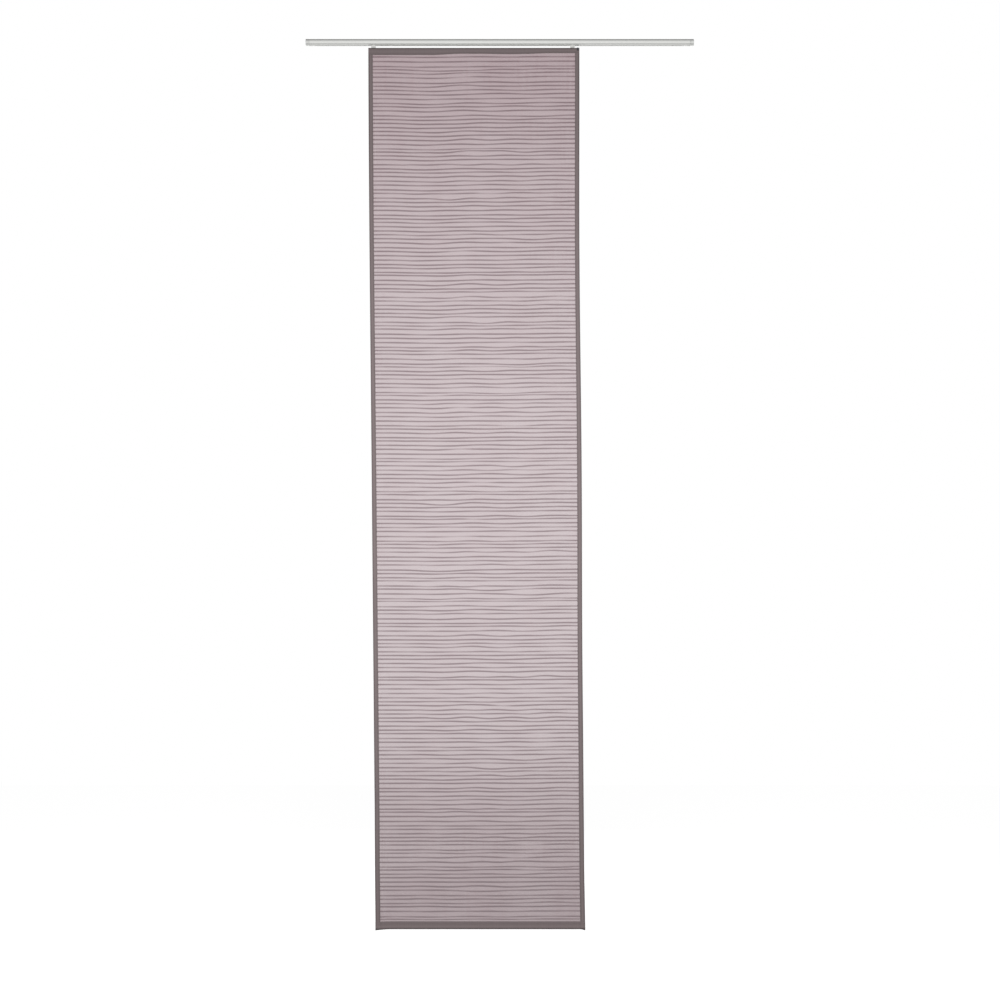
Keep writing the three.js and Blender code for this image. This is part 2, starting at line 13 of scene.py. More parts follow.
import bpy
import numpy as np
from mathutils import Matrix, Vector


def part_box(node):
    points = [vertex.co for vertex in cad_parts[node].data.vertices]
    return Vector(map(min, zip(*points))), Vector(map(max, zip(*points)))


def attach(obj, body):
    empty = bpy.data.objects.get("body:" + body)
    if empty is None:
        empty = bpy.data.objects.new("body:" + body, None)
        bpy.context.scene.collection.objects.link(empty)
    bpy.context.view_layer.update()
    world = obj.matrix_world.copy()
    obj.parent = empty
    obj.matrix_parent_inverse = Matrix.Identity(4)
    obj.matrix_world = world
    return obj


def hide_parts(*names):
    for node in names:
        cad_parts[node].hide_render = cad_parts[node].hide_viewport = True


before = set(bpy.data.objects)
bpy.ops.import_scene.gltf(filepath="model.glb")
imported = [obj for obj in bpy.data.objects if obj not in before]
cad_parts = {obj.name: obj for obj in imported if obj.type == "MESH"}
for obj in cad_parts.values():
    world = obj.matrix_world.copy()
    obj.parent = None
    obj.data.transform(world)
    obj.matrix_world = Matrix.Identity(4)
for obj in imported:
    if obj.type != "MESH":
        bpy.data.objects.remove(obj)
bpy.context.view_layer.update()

LOG = logging.getLogger("panel_curtain")
MM = 0.001
Array = np.ndarray
Colour = tuple[float, float, float]
Span = tuple[float, float]
Socket = bpy.types.NodeSocket


class Side(Enum):
    """An end of the rail or an edge of the cloth, with the sign of X that points outwards."""

    LEFT = -1
    RIGHT = 1

    @property
    def label(self) -> str:
        """The side's name in lower case, as piece names use it."""
        return self.name.lower()


class Body(Enum):
    """The two bodies of the part: what is fixed to the ceiling and what slides."""

    TRACK = "track"
    PANEL = "panel"


class Weave(Enum):
    """How many plies of cloth lie over each other, and so whether light comes through."""

    SHEER = "sheer"
    FOLDED = "folded"


# Surfaces


def smooth_step(low: float, high: float, value: Array) -> Array:
    """Rises from 0 at low to 1 at high as 3t^2 - 2t^3.

    Args:
        low: where the rise starts.
        high: where it ends; it may be below low.
        value: the places asked for.

    Returns:
        The height of the step at each place.
    """
    t = np.clip((value - low) / (high - low), 0.0, 1.0)
    return t * t * (3.0 - 2.0 * t)


def bell(value: Array, width: float) -> Array:
    """A bell of height 1 round 0: e to the power of -(value / width)^2."""
    return np.exp(-((value / width) ** 2))


def hump(value: Array, centre: float | Array, half: float | Array) -> Array:
    """A squared cosine: 1 at the centre, and 0 from half its width away."""
    return np.cos(0.5 * math.pi * np.clip((value - centre) / half, -1.0, 1.0)) ** 2


def evenly(line: Array, count: int) -> Array:
    """Points spaced evenly along a line that is given by its corners.

    Args:
        line: corners x 2 places.
        count: how many points are wanted.

    Returns:
        count x 2 places, the line's two ends among them.
    """
    steps = np.diff(line, axis=0)
    length = np.concatenate([[0.0], np.cumsum(np.hypot(steps[:, 0], steps[:, 1]))])
    even = np.linspace(0.0, length[-1], count)
    return np.stack([np.interp(even, length, line[:, 0]), np.interp(even, length, line[:, 1])], axis=-1)


def signed_volume(points: Array, faces: list[Array]) -> float:
    """Volume inside closed faces: the sum of the tetrahedra between each triangle and the origin.

    Args:
        points: n x 3 places.
        faces: arrays of faces, each with its own number of corners.

    Returns:
        The volume, which is negative where the faces point inwards.
    """
    total = 0.0
    for group in faces:
        first = points[group[:, 0]]
        for k in range(1, group.shape[1] - 1):
            second, third = points[group[:, k]], points[group[:, k + 1]]
            total += float(np.einsum("ij,ij->", first, np.cross(second, third))) / 6.0
    return total


def facing_out(points: Array, faces: list[Array]) -> list[Array]:
    """The same closed faces, turned round where they point inwards."""
    return [group[:, ::-1] for group in faces] if signed_volume(points, faces) < 0 else faces


def grid_quads(rows: int, columns: int, wrap: bool) -> Array:
    """Quads between the neighbouring points of a grid.

    Args:
        rows: number of rows.
        columns: number of columns.
        wrap: joins the last column to the first.

    Returns:
        Quads x 4 point numbers.
    """
    across = np.arange(columns if wrap else columns - 1)
    along = np.arange(rows - 1)[:, None] * columns
    beside = (across + 1) % columns
    corners = [along + across, along + beside, along + columns + beside, along + columns + across]
    return np.stack(corners, axis=-1).reshape(-1, 4)


def end_faces(rows: int, columns: int) -> list[Array]:
    """The two faces that close the first and the last row of a grid that wraps."""
    ring = np.arange(columns)
    return [ring[::-1][None, :], (ring + (rows - 1) * columns)[None, :]]


class Shell:
    """The vertices and faces of one piece, gathered from grids of points in millimetres."""

    def __init__(self) -> None:
        """Starts a piece with nothing in it."""
        self.points: list[Array] = []
        self.faces: list[Array] = []
        self.uvs: list[Array] = []
        self.values: list[Array] = []
        self.count = 0

    def add_grid(
        self,
        grid: Array,
        wrap: bool = False,
        ends: bool = False,
        flip: bool = False,
        uv: Array | None = None,
        value: Array | None = None,
    ) -> None:
        """Adds a surface whose point in row i and column j is grid[i, j].

        Args:
            grid: rows x columns x 3 places.
            wrap: joins the last column to the first, as round a tube.
            ends: closes the first and the last row with a face each, and points all outwards.
            flip: turns the faces of an open surface round.
            uv: rows x columns x 2 places on the flat cloth, in metres.
            value: rows x columns of one number that the finish reads.
        """
        rows, columns = grid.shape[:2]
        places = grid.reshape(-1, 3)
        found = [grid_quads(rows, columns, wrap)]
        if ends:
            found = facing_out(places, found + end_faces(rows, columns))
        if flip:
            found = [group[:, ::-1] for group in found]
        self._append(places, found, uv, value)

    def add_ring(self, outer: Array, inner: Array, value: Array) -> None:
        """Adds a tube with a wall: outer and inner are grids of the same shape, met at both ends.

        Args:
            outer: rows x columns x 3 places on the outside.
            inner: the places inside that lie nearest to them.
            value: rows x columns of one number that the finish reads.
        """
        loop = np.stack([outer, inner], axis=2)
        rows, columns = outer.shape[:2]
        index = np.arange(rows * columns * 2).reshape(rows, columns, 2)
        turned = np.roll(index, -1, axis=1)

        def band(a: Array, b: Array, c: Array, d: Array) -> Array:
            """Quads from four arrays of corners."""
            return np.stack([a, b, c, d], axis=-1).reshape(-1, 4)

        found = [
            band(index[:-1, :, 0], turned[:-1, :, 0], turned[1:, :, 0], index[1:, :, 0]),
            band(index[1:, :, 1], turned[1:, :, 1], turned[:-1, :, 1], index[:-1, :, 1]),
            band(index[0, :, 1], turned[0, :, 1], turned[0, :, 0], index[0, :, 0]),
            band(index[-1, :, 0], turned[-1, :, 0], turned[-1, :, 1], index[-1, :, 1]),
        ]
        places = loop.reshape(-1, 3)
        self._append(places, facing_out(places, found), None, np.repeat(value.reshape(-1), 2))

    def add_copies(self, pattern: Array, places: Array) -> None:
        """Adds one closed grid many times.

        Args:
            pattern: rows x columns x 3 places of the closed grid round its own middle.
            places: copies x rows x columns x 3 places, already set where they belong.
        """
        rows, columns = pattern.shape[:2]
        closed = [grid_quads(rows, columns, wrap=True), *end_faces(rows, columns)]
        found = facing_out(pattern.reshape(-1, 3), closed)
        steps = (np.arange(len(places)) * rows * columns)[:, None, None]
        copied = [(group[None] + steps).reshape(-1, group.shape[1]) for group in found]
        self._append(places.reshape(-1, 3), copied, None, None)

    def _append(self, places: Array, found: list[Array], uv: Array | None, value: Array | None) -> None:
        """Keeps places and faces, with what each place carries or zeros.

        Args:
            places: n x 3 places.
            found: arrays of faces on those places.
            uv: what each place has for its cloth coordinates, or None.
            value: what each place has for its number, or None.
        """
        self.points.append(places)
        self.faces.extend(group + self.count for group in found)
        self.uvs.append(places[:, [0, 2]] * MM if uv is None else uv.reshape(-1, 2))
        self.values.append(np.zeros(len(places)) if value is None else value.reshape(-1))
        self.count += len(places)

    def build(self, name: str, sharp: float = math.radians(32.0)) -> bpy.types.Object:
        """Puts the gathered points and faces into a mesh object at the origin.

        Args:
            name: the piece's name.
            sharp: edges that turn by more than this angle stay crisp.

        Returns:
            The object, in metres, linked to the scene.
        """
        mesh = bpy.data.meshes.new(name)
        points = np.concatenate(self.points) * MM
        corners = np.concatenate([group.reshape(-1) for group in self.faces]).astype(np.int32)
        sizes = np.concatenate([np.full(len(group), group.shape[1]) for group in self.faces])
        starts = np.concatenate([[0], np.cumsum(sizes)[:-1]]).astype(np.int32)
        mesh.vertices.add(len(points))
        mesh.vertices.foreach_set("co", points.astype(np.float32).reshape(-1))
        mesh.loops.add(len(corners))
        mesh.loops.foreach_set("vertex_index", corners)
        mesh.polygons.add(len(sizes))
        mesh.polygons.foreach_set("loop_start", starts)
        mesh.update(calc_edges=True)
        layer = mesh.uv_layers.new(name="cloth")
        layer.data.foreach_set("uv", np.concatenate(self.uvs)[corners].astype(np.float32).reshape(-1))
        # On the field the thread attribute marks the slub lines; on the hems and the pocket it holds painted
        # shade and painted highlights.
        carried = mesh.attributes.new("thread", "FLOAT", "POINT")
        carried.data.foreach_set("value", np.concatenate(self.values).astype(np.float32))
        mesh.polygons.foreach_set("use_smooth", np.ones(len(sizes), bool))
        mesh.set_sharp_from_angle(angle=sharp)
        mesh.validate()
        piece = bpy.data.objects.new(name, mesh)
        bpy.context.scene.collection.objects.link(piece)
        return piece


def rounded_outline(half_a: Array, half_b: Array, radius: Array, per_corner: int = 8) -> Array:
    """Rounded rectangles: a quarter circle at each corner, joined by the straight sides.

    Args:
        half_a: half the size along the first axis, for each level.
        half_b: half the size along the second axis, for each level.
        radius: corner radius for each level.
        per_corner: points on each quarter circle.

    Returns:
        levels x points x 2 places round each rectangle.
    """
    turn = np.concatenate([np.linspace(q, q + 1, per_corner) for q in range(4)]) * math.pi / 2
    signs = np.repeat(np.array([[1, 1], [-1, 1], [-1, -1], [1, -1]]), per_corner, axis=0)
    a, b, r = (np.asarray(v, float)[:, None] for v in (half_a, half_b, radius))
    first = signs[:, 0] * (a - r) + r * np.cos(turn)
    second = signs[:, 1] * (b - r) + r * np.sin(turn)
    return np.stack([first, second], axis=-1)


def stacked_block(levels: list[tuple[float, float, float, float]], edge: float = 0.3) -> Array:
    """Profile of a moulded piece: rounded rectangles whose size steps from level to level.

    Each row of levels is (height, half length, half width, corner radius). At each level the
    outline is drawn a little smaller just before the step, so that the edge is eased.

    Args:
        levels: the steps, two rows for each straight stretch, in order of height.
        edge: how far an eased edge runs back.

    Returns:
        rows x points x 3 places: length, width, height.
    """
    table = np.array(levels, float)
    low, high = table[0::2], table[1::2]
    rows = []
    for start, stop in zip(low, high):
        ease = min(edge, 0.3 * (stop[0] - start[0]), 0.45 * start[3], 0.45 * start[2])
        for row, inset, lift in (
            (start, ease, 0.0),
            (start, 0.3 * ease, 0.3 * ease),
            (start, 0.0, ease),
            (stop, 0.0, -ease),
            (stop, 0.3 * ease, -0.3 * ease),
            (stop, ease, 0.0),
        ):
            rows.append((row[0] + lift, row[1] - inset, row[2] - inset, max(row[3] - inset, 0.05)))
    made = np.array(rows)
    outline = rounded_outline(made[:, 1], made[:, 2], made[:, 3])
    height = np.broadcast_to(made[:, 0][:, None, None], outline.shape[:2] + (1,))
    return np.concatenate([outline, height], axis=-1)


# Finishes


class Recipe:
    """A material's nodes, added one at a time."""

    def __init__(self, name: str) -> None:
        """Starts a material that has only its output.

        Args:
            name: the material's name.
        """
        self.material = bpy.data.materials.new(name)
        self.material.use_nodes = True
        self.tree = self.material.node_tree
        self.tree.nodes.clear()
        self.output = self.tree.nodes.new("ShaderNodeOutputMaterial")

    def add(
        self, kind: str, inputs: dict | None = None, output: str | int = 0, **settings: object
    ) -> Socket:
        """Adds a node.

        Args:
            kind: the node's type without its first word.
            inputs: what goes into its sockets, by name or number: a value, or another node's output.
            output: the output that is wanted.
            **settings: the node's own settings.

        Returns:
            That output.
        """
        node = self.tree.nodes.new("ShaderNode" + kind)
        for key, value in settings.items():
            setattr(node, key, value)
        for key, value in (inputs or {}).items():
            if isinstance(value, Socket):
                self.tree.links.new(value, node.inputs[key])
            else:
                node.inputs[key].default_value = value
        return node.outputs[output]

    def math(self, operation: str, a: object, b: object = 0.0, clamp: bool = False) -> Socket:
        """Adds a sum of two numbers or outputs and returns its result."""
        return self.add("Math", {0: a, 1: b}, operation=operation, use_clamp=clamp)

    def ramp(self, value: object, low: float, high: float, start: float, end: float) -> Socket:
        """Adds a smooth rise from start at low to end at high and returns its result."""
        return self.add(
            "MapRange",
            {"Value": value, "From Min": low, "From Max": high, "To Min": start, "To Max": end},
            interpolation_type="SMOOTHSTEP",
        )

    def line(self, value: object, low: float, high: float) -> Socket:
        """Adds an even rise from 0 at low to 1 at high, held beyond them, and returns its result."""
        return self.add("MapRange", {"Value": value, "From Min": low, "From Max": high})

    def around(self, value: object, middle: float, width: float) -> Socket:
        """Adds a number that swings about a middle as value goes from 0 to 1, and returns it."""
        return self.math("ADD", self.math("MULTIPLY", value, width), middle - width / 2)

    def surface(self, tone: object, gloss: object, relief: object, more: dict | None = None) -> Socket:
        """Adds a surface.

        Args:
            tone: its colour.
            gloss: its roughness.
            relief: its normal.
            more: its other inputs by name.

        Returns:
            The shader.
        """
        inputs = {"Base Color": tone, "Roughness": gloss, "Normal": relief}
        return self.add("BsdfPrincipled", {**inputs, **(more or {})})

    def mix(self, share: object, a: object, b: object) -> Socket:
        """Adds a mix of two colours and returns its result."""
        return self.add("MixRGB", {0: share, 1: a, 2: b})

    def noise(self, vector: object, scale: float, detail: float = 2.0, rough: float = 0.5) -> Socket:
        """Adds a noise and returns its strength."""
        inputs = {"Vector": vector, "Scale": scale, "Detail": detail, "Roughness": rough}
        return self.add("TexNoise", inputs)

    def place(self, scale: tuple[float, float, float] = (1.0, 1.0, 1.0), cloth: bool = False) -> Socket:
        """Adds a place, stretched.

        Args:
            scale: the stretch along each axis.
            cloth: takes the place on the cut cloth instead of the one on the piece.

        Returns:
            The place.
        """
        if cloth:
            found = self.add("UVMap", uv_map="cloth")
        else:
            found = self.add("TexCoord", output="Object")
        return self.add("Mapping", {"Vector": found, "Scale": scale})

    def bump(self, height: object, distance: float, strength: float = 1.0) -> Socket:
        """Adds a relief of that depth in metres and returns the normal."""
        return self.add("Bump", {"Height": height, "Distance": distance, "Strength": strength})

    def finish(self, shader: Socket) -> bpy.types.Material:
        """Ends the material with that shader."""
        self.tree.links.new(shader, self.output.inputs["Surface"])
        return self.material


def rgba(colour: Colour) -> tuple[float, float, float, float]:
    """A colour with full cover."""
    return (*colour, 1.0)


def shade(colour: Colour, share: float) -> tuple[float, float, float, float]:
    """A colour with full cover, made darker or paler by a share."""
    return rgba(tuple(share * part for part in colour))


@dataclass(frozen=True)
class PaintedShoulderShade:
    """Painted shade on a round section: darker towards its top and in a band along its lower flank.

    The axis is the height of the section's middle in millimetres. Places are heights from that
    middle, as shares of the radius.
    """

    axis: float
    radius: float
    # How high the painted shade on the top reaches and how strong it is, then where its band on the lower
    # flank runs and how strong that is.
    top: float = 0.82
    top_share: float = 0.95
    band_starts: Span = (-0.44, -0.62)
    band_ends: Span = (-0.7, -0.83)
    band_share: float = 0.6

    def dull(self, r: Recipe, tone: object, shaded: object) -> Socket:
        """Adds the painted shade to a colour.

        Args:
            r: the material they go into.
            tone: the colour before.
            shaded: the colour where the painted shade is deepest.

        Returns:
            The colour after.
        """
        height = r.add("SeparateXYZ", {0: r.add("TexCoord", output="Object")}, output="Z")
        away = r.math("DIVIDE", r.math("SUBTRACT", height, self.axis * MM), self.radius * MM)
        # Painted shade by height: darker towards the top and in a band along the lower flank.
        upper = r.ramp(away, 0.0, self.top, 0.0, self.top_share)
        into = r.ramp(away, *self.band_starts, 0.0, self.band_share)
        out_of = r.ramp(away, *self.band_ends, 1.0, 0.0)
        share = r.math("MAXIMUM", upper, r.math("MULTIPLY", into, out_of))
        return r.mix(share, tone, shaded)


@dataclass(frozen=True)
class AnodisedFinish:
    """Satin anodised aluminium: long die lines, a cloudy sheen and, on a rail, painted shade on its top and
    lower flank.
    """

    name: str
    colour: Colour = (0.86, 0.865, 0.84)
    in_lines: Colour = (0.62, 0.625, 0.61)
    # Colour of the painted shade on a rail's top and lower flank.
    dull: Colour = (0.19, 0.195, 0.185)
    line_share: float = 0.16
    line_depth: float = 0.00004
    metal: float = 0.35
    roughness: float = 0.34
    cloudiness: float = 0.10
    brushed: float = 0.4
    shoulder_shade: PaintedShoulderShade | None = None

    def build(self) -> bpy.types.Material:
        """Makes the material.

        Returns:
            The material.
        """
        r = Recipe(self.name)
        lines = r.noise(r.place((0.8, 900.0, 900.0)), 1.0, 3.0, 0.7)
        cloud = r.noise(r.place((9.0, 40.0, 40.0)), 1.0, 2.0)
        tone = r.mix(r.math("MULTIPLY", lines, self.line_share), rgba(self.colour), rgba(self.in_lines))
        # On a rail, painted shade darkens the top and a band along the lower flank.
        if self.shoulder_shade:
            tone = self.shoulder_shade.dull(r, tone, rgba(self.dull))
        gloss = r.around(cloud, self.roughness, self.cloudiness)
        relief = r.bump(lines, self.line_depth, 0.6)
        return r.finish(r.surface(tone, gloss, relief, {"Metallic": self.metal, "Anisotropic": self.brushed}))


@dataclass(frozen=True)
class MouldedFinish:
    """Moulded plastic: a fine eroded grain, faint flow marks and slightly polished high spots."""

    name: str
    colour: Colour
    roughness: float = 0.45
    grain: float = 2600.0
    depth: float = 0.00003
    polish: float = 0.14
    flow_shade: float = 0.86
    # Share of the colour left where the painted shade on a round cap is deepest.
    painted_shade_share: float = 0.24
    shoulder_shade: PaintedShoulderShade | None = None

    def build(self) -> bpy.types.Material:
        """Makes the material.

        Returns:
            The material.
        """
        r = Recipe(self.name)
        grain = r.noise(r.place(), self.grain, 3.0, 0.6)
        flow = r.noise(r.place((60.0, 160.0, 90.0)), 1.0, 2.0)
        flowed = r.ramp(flow, 0.35, 0.7, 0.0, 0.6)
        tone = r.mix(flowed, rgba(self.colour), shade(self.colour, self.flow_shade))
        # On a rail cap, painted shade darkens the top and a band along the lower flank.
        if self.shoulder_shade:
            tone = self.shoulder_shade.dull(r, tone, shade(self.colour, self.painted_shade_share))
        gloss = r.around(grain, self.roughness, self.polish)
        relief = r.bump(grain, self.depth, 0.5)
        return r.finish(r.surface(tone, gloss, relief, {"Specular IOR Level": 0.45}))


@dataclass(frozen=True)
class TurnedSteelFinish:
    """Zinc plated steel: turning marks round the screw and a mottled plating."""

    name: str = "plated_steel"
    colour: Colour = (0.55, 0.55, 0.54)
    mottled: Colour = (0.36, 0.36, 0.37)
    roughness: float = 0.35
    mark_depth: float = 0.00003

    def build(self) -> bpy.types.Material:
        """Makes the material.

        Returns:
            The material.
        """
        r = Recipe(self.name)
        marks = r.noise(r.place((200.0, 200.0, 9000.0)), 1.0, 2.0)
        mottle = r.noise(r.place(), 1400.0, 2.0)
        tone = r.mix(r.math("MULTIPLY", mottle, 0.4), rgba(self.colour), rgba(self.mottled))
        gloss = r.around(marks, self.roughness, 0.2)
        return r.finish(r.surface(tone, gloss, r.bump(marks, self.mark_depth), {"Metallic": 1.0}))


@dataclass(frozen=True)
class LacquerFinish:
    """White lacquer on steel strip: an orange-peel surface and a few dull rubs."""

    name: str = "white_lacquer"
    colour: Colour = (0.82, 0.82, 0.80)
    rubbed: Colour = (0.6, 0.6, 0.58)
    gloss: Span = (0.3, 0.55)
    peel_depth: float = 0.00004

    def build(self) -> bpy.types.Material:
        """Makes the material.

        Returns:
            The material.
        """
        r = Recipe(self.name)
        peel = r.noise(r.place(), 700.0, 1.0)
        rubs = r.noise(r.place((30.0, 400.0, 400.0)), 1.0, 4.0, 0.7)
        tone = r.mix(r.ramp(rubs, 0.6, 0.8, 0.0, 0.35), rgba(self.colour), rgba(self.rubbed))
        gloss = r.ramp(rubs, 0.5, 0.8, *self.gloss)
        return r.finish(r.surface(tone, gloss, r.bump(peel, self.peel_depth, 0.4)))


@dataclass(frozen=True)
class TapeFinish:
    """Woven tape with a pile: cells of hooks or loops over a fine ground weave."""

    name: str
    colour: Colour
    cell: float = 900.0
    depth: float = 0.0004
    pile_shade: float = 0.55

    def build(self) -> bpy.types.Material:
        """Makes the material.

        Returns:
            The material.
        """
        r = Recipe(self.name)
        cells = {"Vector": r.place(), "Scale": self.cell, "Randomness": 0.6}
        pile = r.add("TexVoronoi", cells, output="Distance")
        ground = r.noise(r.place((1500.0, 1500.0, 4000.0)), 1.0, 2.0)
        tone = r.mix(r.ramp(pile, 0.1, 0.6, 0.0, 1.0), rgba(self.colour), shade(self.colour, self.pile_shade))
        relief = r.bump(r.math("SUBTRACT", ground, pile), self.depth, 0.6)
        return r.finish(r.surface(tone, 0.95, relief, {"Sheen Weight": 0.3}))


@dataclass(frozen=True)
class ClothFinish:
    """Fine taupe voile: a plain weave of thin yarn with darker slub lines.

    One ply is sheer: it lets part of the light straight through and scatters the rest to both
    sides. Where the cloth is folded it is opaque. The weave is two crossed waves, one for the
    warp and one for the weft, on the flat cloth. A cover is the share of the area that yarn
    fills. The upper and lower spans are metres up from the cloth's top edge: over each of them
    the cover grows, which is painted shade that darkens the cloth towards its top and its
    bottom, and the slub lines add less to it there. The light through is painted rosier towards
    the top and darker towards the bottom.
    """

    name: str
    weave: Weave
    front: Colour = (0.205, 0.155, 0.158)
    through: Colour = (0.578, 0.455, 0.482)
    painted_rosy: Colour = (0.375, 0.19, 0.23)
    folded: Colour = (0.228, 0.186, 0.188)
    line_shade: Colour = (0.57, 0.585, 0.595)
    thread: float = 0.0011
    weave_depth: float = 0.00012
    # Spans of the painted shade towards the top and the bottom, in metres up from the top edge.
    upper: Span = (-1.326, 0.0)
    lower: Span = (-1.786, -2.418)
    cover: float = 0.695
    # Cover added by the painted shade towards the top and towards the bottom.
    upper_painted_shade: float = 0.12
    lower_painted_shade: float = 0.165
    line_cover: float = 0.30
    upper_shade_line_loss: float = 0.14
    lower_shade_line_loss: float = 0.15
    thread_cover: float = 0.05
    streak_cover: float = 0.025
    cloud_cover: float = 0.012
    # Painted tint of the light through: rosier towards the top, darker towards the bottom.
    upper_painted_rosy: float = 0.5
    lower_painted_dark: float = 0.35
    glow: float = 0.45
    roughness: float = 0.9
    shine: float = 0.2

    def threads(self, r: Recipe) -> Socket:
        """Adds the crossed waves of warp and weft.

        Args:
            r: the material they go into.

        Returns:
            A number from 0 between threads to 1 on top of one.
        """
        flat = r.add("UVMap", uv_map="cloth")
        scale = 2.0 * math.pi / (20.0 * self.thread)
        wobble = {"Vector": flat, "Scale": scale, "Distortion": 0.6, "Detail": 1.0, "Detail Scale": 0.4}
        warp = r.add("TexWave", wobble, output="Fac", bands_direction="X")
        weft = r.add("TexWave", wobble, output="Fac", bands_direction="Y")
        return r.math("MAXIMUM", warp, weft)

    def plies(self, r: Recipe, threads: Socket, streaks: Socket, relief: Socket) -> Socket:
        """Adds the opaque cloth of a hem, with painted shade along its folds and stitches and a painted
        highlight in its middle.

        Args:
            r: the material it goes into.
            threads: height of the weave.
            streaks: streaks along the warp.
            relief: the weave's normal.

        Returns:
            The shader.
        """
        tone = r.mix(r.ramp(threads, 0.2, 0.9, 0.5, 0.0), rgba(self.folded), shade(self.folded, 0.72))
        tone = r.mix(r.ramp(streaks, 0.35, 0.7, 0.0, 0.35), tone, shade(self.folded, 1.2))
        # The thread attribute holds painted shade along folds and stitches, and a painted highlight below 0;
        # half of it darkens the colour.
        painted_crease_shade = r.add("Attribute", attribute_name="thread", output="Fac")
        left = r.math("SUBTRACT", 1.0, r.math("MULTIPLY", painted_crease_shade, 0.5))
        tone = r.add("MixRGB", {0: 1.0, 1: tone, 2: left}, blend_type="MULTIPLY")
        nap = {"Sheen Weight": 0.12, "Specular IOR Level": self.shine}
        return r.surface(tone, self.roughness, relief, nap)

    def ply(self, r: Recipe, threads: Socket, streaks: Socket, relief: Socket) -> Socket:
        """Adds the sheer cloth: yarn that covers a share of the area, and nothing beside it.

        Args:
            r: the material it goes into.
            threads: height of the weave.
            streaks: streaks along the warp.
            relief: the weave's normal.

        Returns:
            The shader.
        """
        line = r.ramp(r.add("Attribute", attribute_name="thread", output="Fac"), 0.02, 0.9, 0.0, 1.0)
        height = r.add("SeparateXYZ", {0: r.add("UVMap", uv_map="cloth")}, output="Y")
        # Painted shade: up grows towards the top of the cloth and down towards its bottom.
        up = r.math("POWER", r.line(height, *self.upper), 2.0)
        down = r.ramp(height, *self.lower, 0.0, 1.0)

        def drawn(upper: float, lower: float) -> Socket:
            """Adds painted shade that grows towards the top and towards the bottom of the cloth."""
            return r.math("ADD", r.math("MULTIPLY", up, upper), r.math("MULTIPLY", down, lower))

        cover = r.math("ADD", drawn(self.upper_painted_shade, self.lower_painted_shade), self.cover)
        lost = drawn(self.upper_shade_line_loss, self.lower_shade_line_loss)
        cover = r.math("ADD", cover, r.math("MULTIPLY", line, r.math("SUBTRACT", self.line_cover, lost)))
        cover = r.math("ADD", cover, r.ramp(threads, 0.0, 1.0, -self.thread_cover, self.thread_cover))
        cover = r.math("ADD", cover, r.ramp(streaks, 0.25, 0.75, -self.streak_cover, self.streak_cover))
        cloud = r.noise(r.place((7.0, 5.0, 1.0), cloth=True), 1.0, 1.0)
        clouded = r.ramp(cloud, 0.3, 0.7, -self.cloud_cover, self.cloud_cover)
        cover = r.math("ADD", cover, clouded, clamp=True)
        # The light through is painted rosier towards the top and darker towards the bottom.
        through = r.mix(r.math("MULTIPLY", up, self.upper_painted_rosy), rgba(self.through), rgba(self.painted_rosy))
        through = r.add("MixRGB", {0: line, 1: through, 2: rgba(self.line_shade)}, blend_type="MULTIPLY")
        through = r.mix(r.math("MULTIPLY", down, self.lower_painted_dark), through, shade(self.through, 0.3))
        front = r.mix(line, rgba(self.front), shade(self.front, 0.72))
        nap = {"Sheen Weight": 0.1, "Specular IOR Level": self.shine}
        yarn = r.surface(front, self.roughness, relief, nap)
        behind = r.add("BsdfTranslucent", {"Color": through, "Normal": relief})
        solid = r.add("MixShader", {0: self.glow, 1: yarn, 2: behind})
        return r.add("MixShader", {0: cover, 1: r.add("BsdfTransparent"), 2: solid})

    def build(self) -> bpy.types.Material:
        """Makes the material.

        Returns:
            The material.
        """
        r = Recipe(self.name)
        threads = self.threads(r)
        streaks = r.noise(r.place((420.0, 6.0, 1.0), cloth=True), 1.0, 2.0)
        relief = r.bump(threads, self.weave_depth, 0.35)
        cloth = self.plies if self.weave is Weave.FOLDED else self.ply
        return r.finish(cloth(r, threads, streaks, relief))


@dataclass(frozen=True)
class ThreadFinish:
    """Sewing thread: two plies twisted round each other, a shade darker than the hem."""

    name: str = "sewing_thread"
    colour: Colour = (0.19, 0.155, 0.155)
    twist_shade: float = 0.6
    twist_depth: float = 0.0001

    def build(self) -> bpy.types.Material:
        """Makes the material.

        Returns:
            The material.
        """
        r = Recipe(self.name)
        wave = {"Vector": r.place(), "Scale": 500.0, "Distortion": 1.0}
        twist = r.add("TexWave", wave, output="Fac", bands_direction="DIAGONAL")
        tone = r.mix(r.math("MULTIPLY", twist, 0.7), rgba(self.colour), shade(self.colour, self.twist_shade))
        return r.finish(r.surface(tone, 0.7, r.bump(twist, self.twist_depth, 0.5), {"Sheen Weight": 0.2}))


# Surroundings


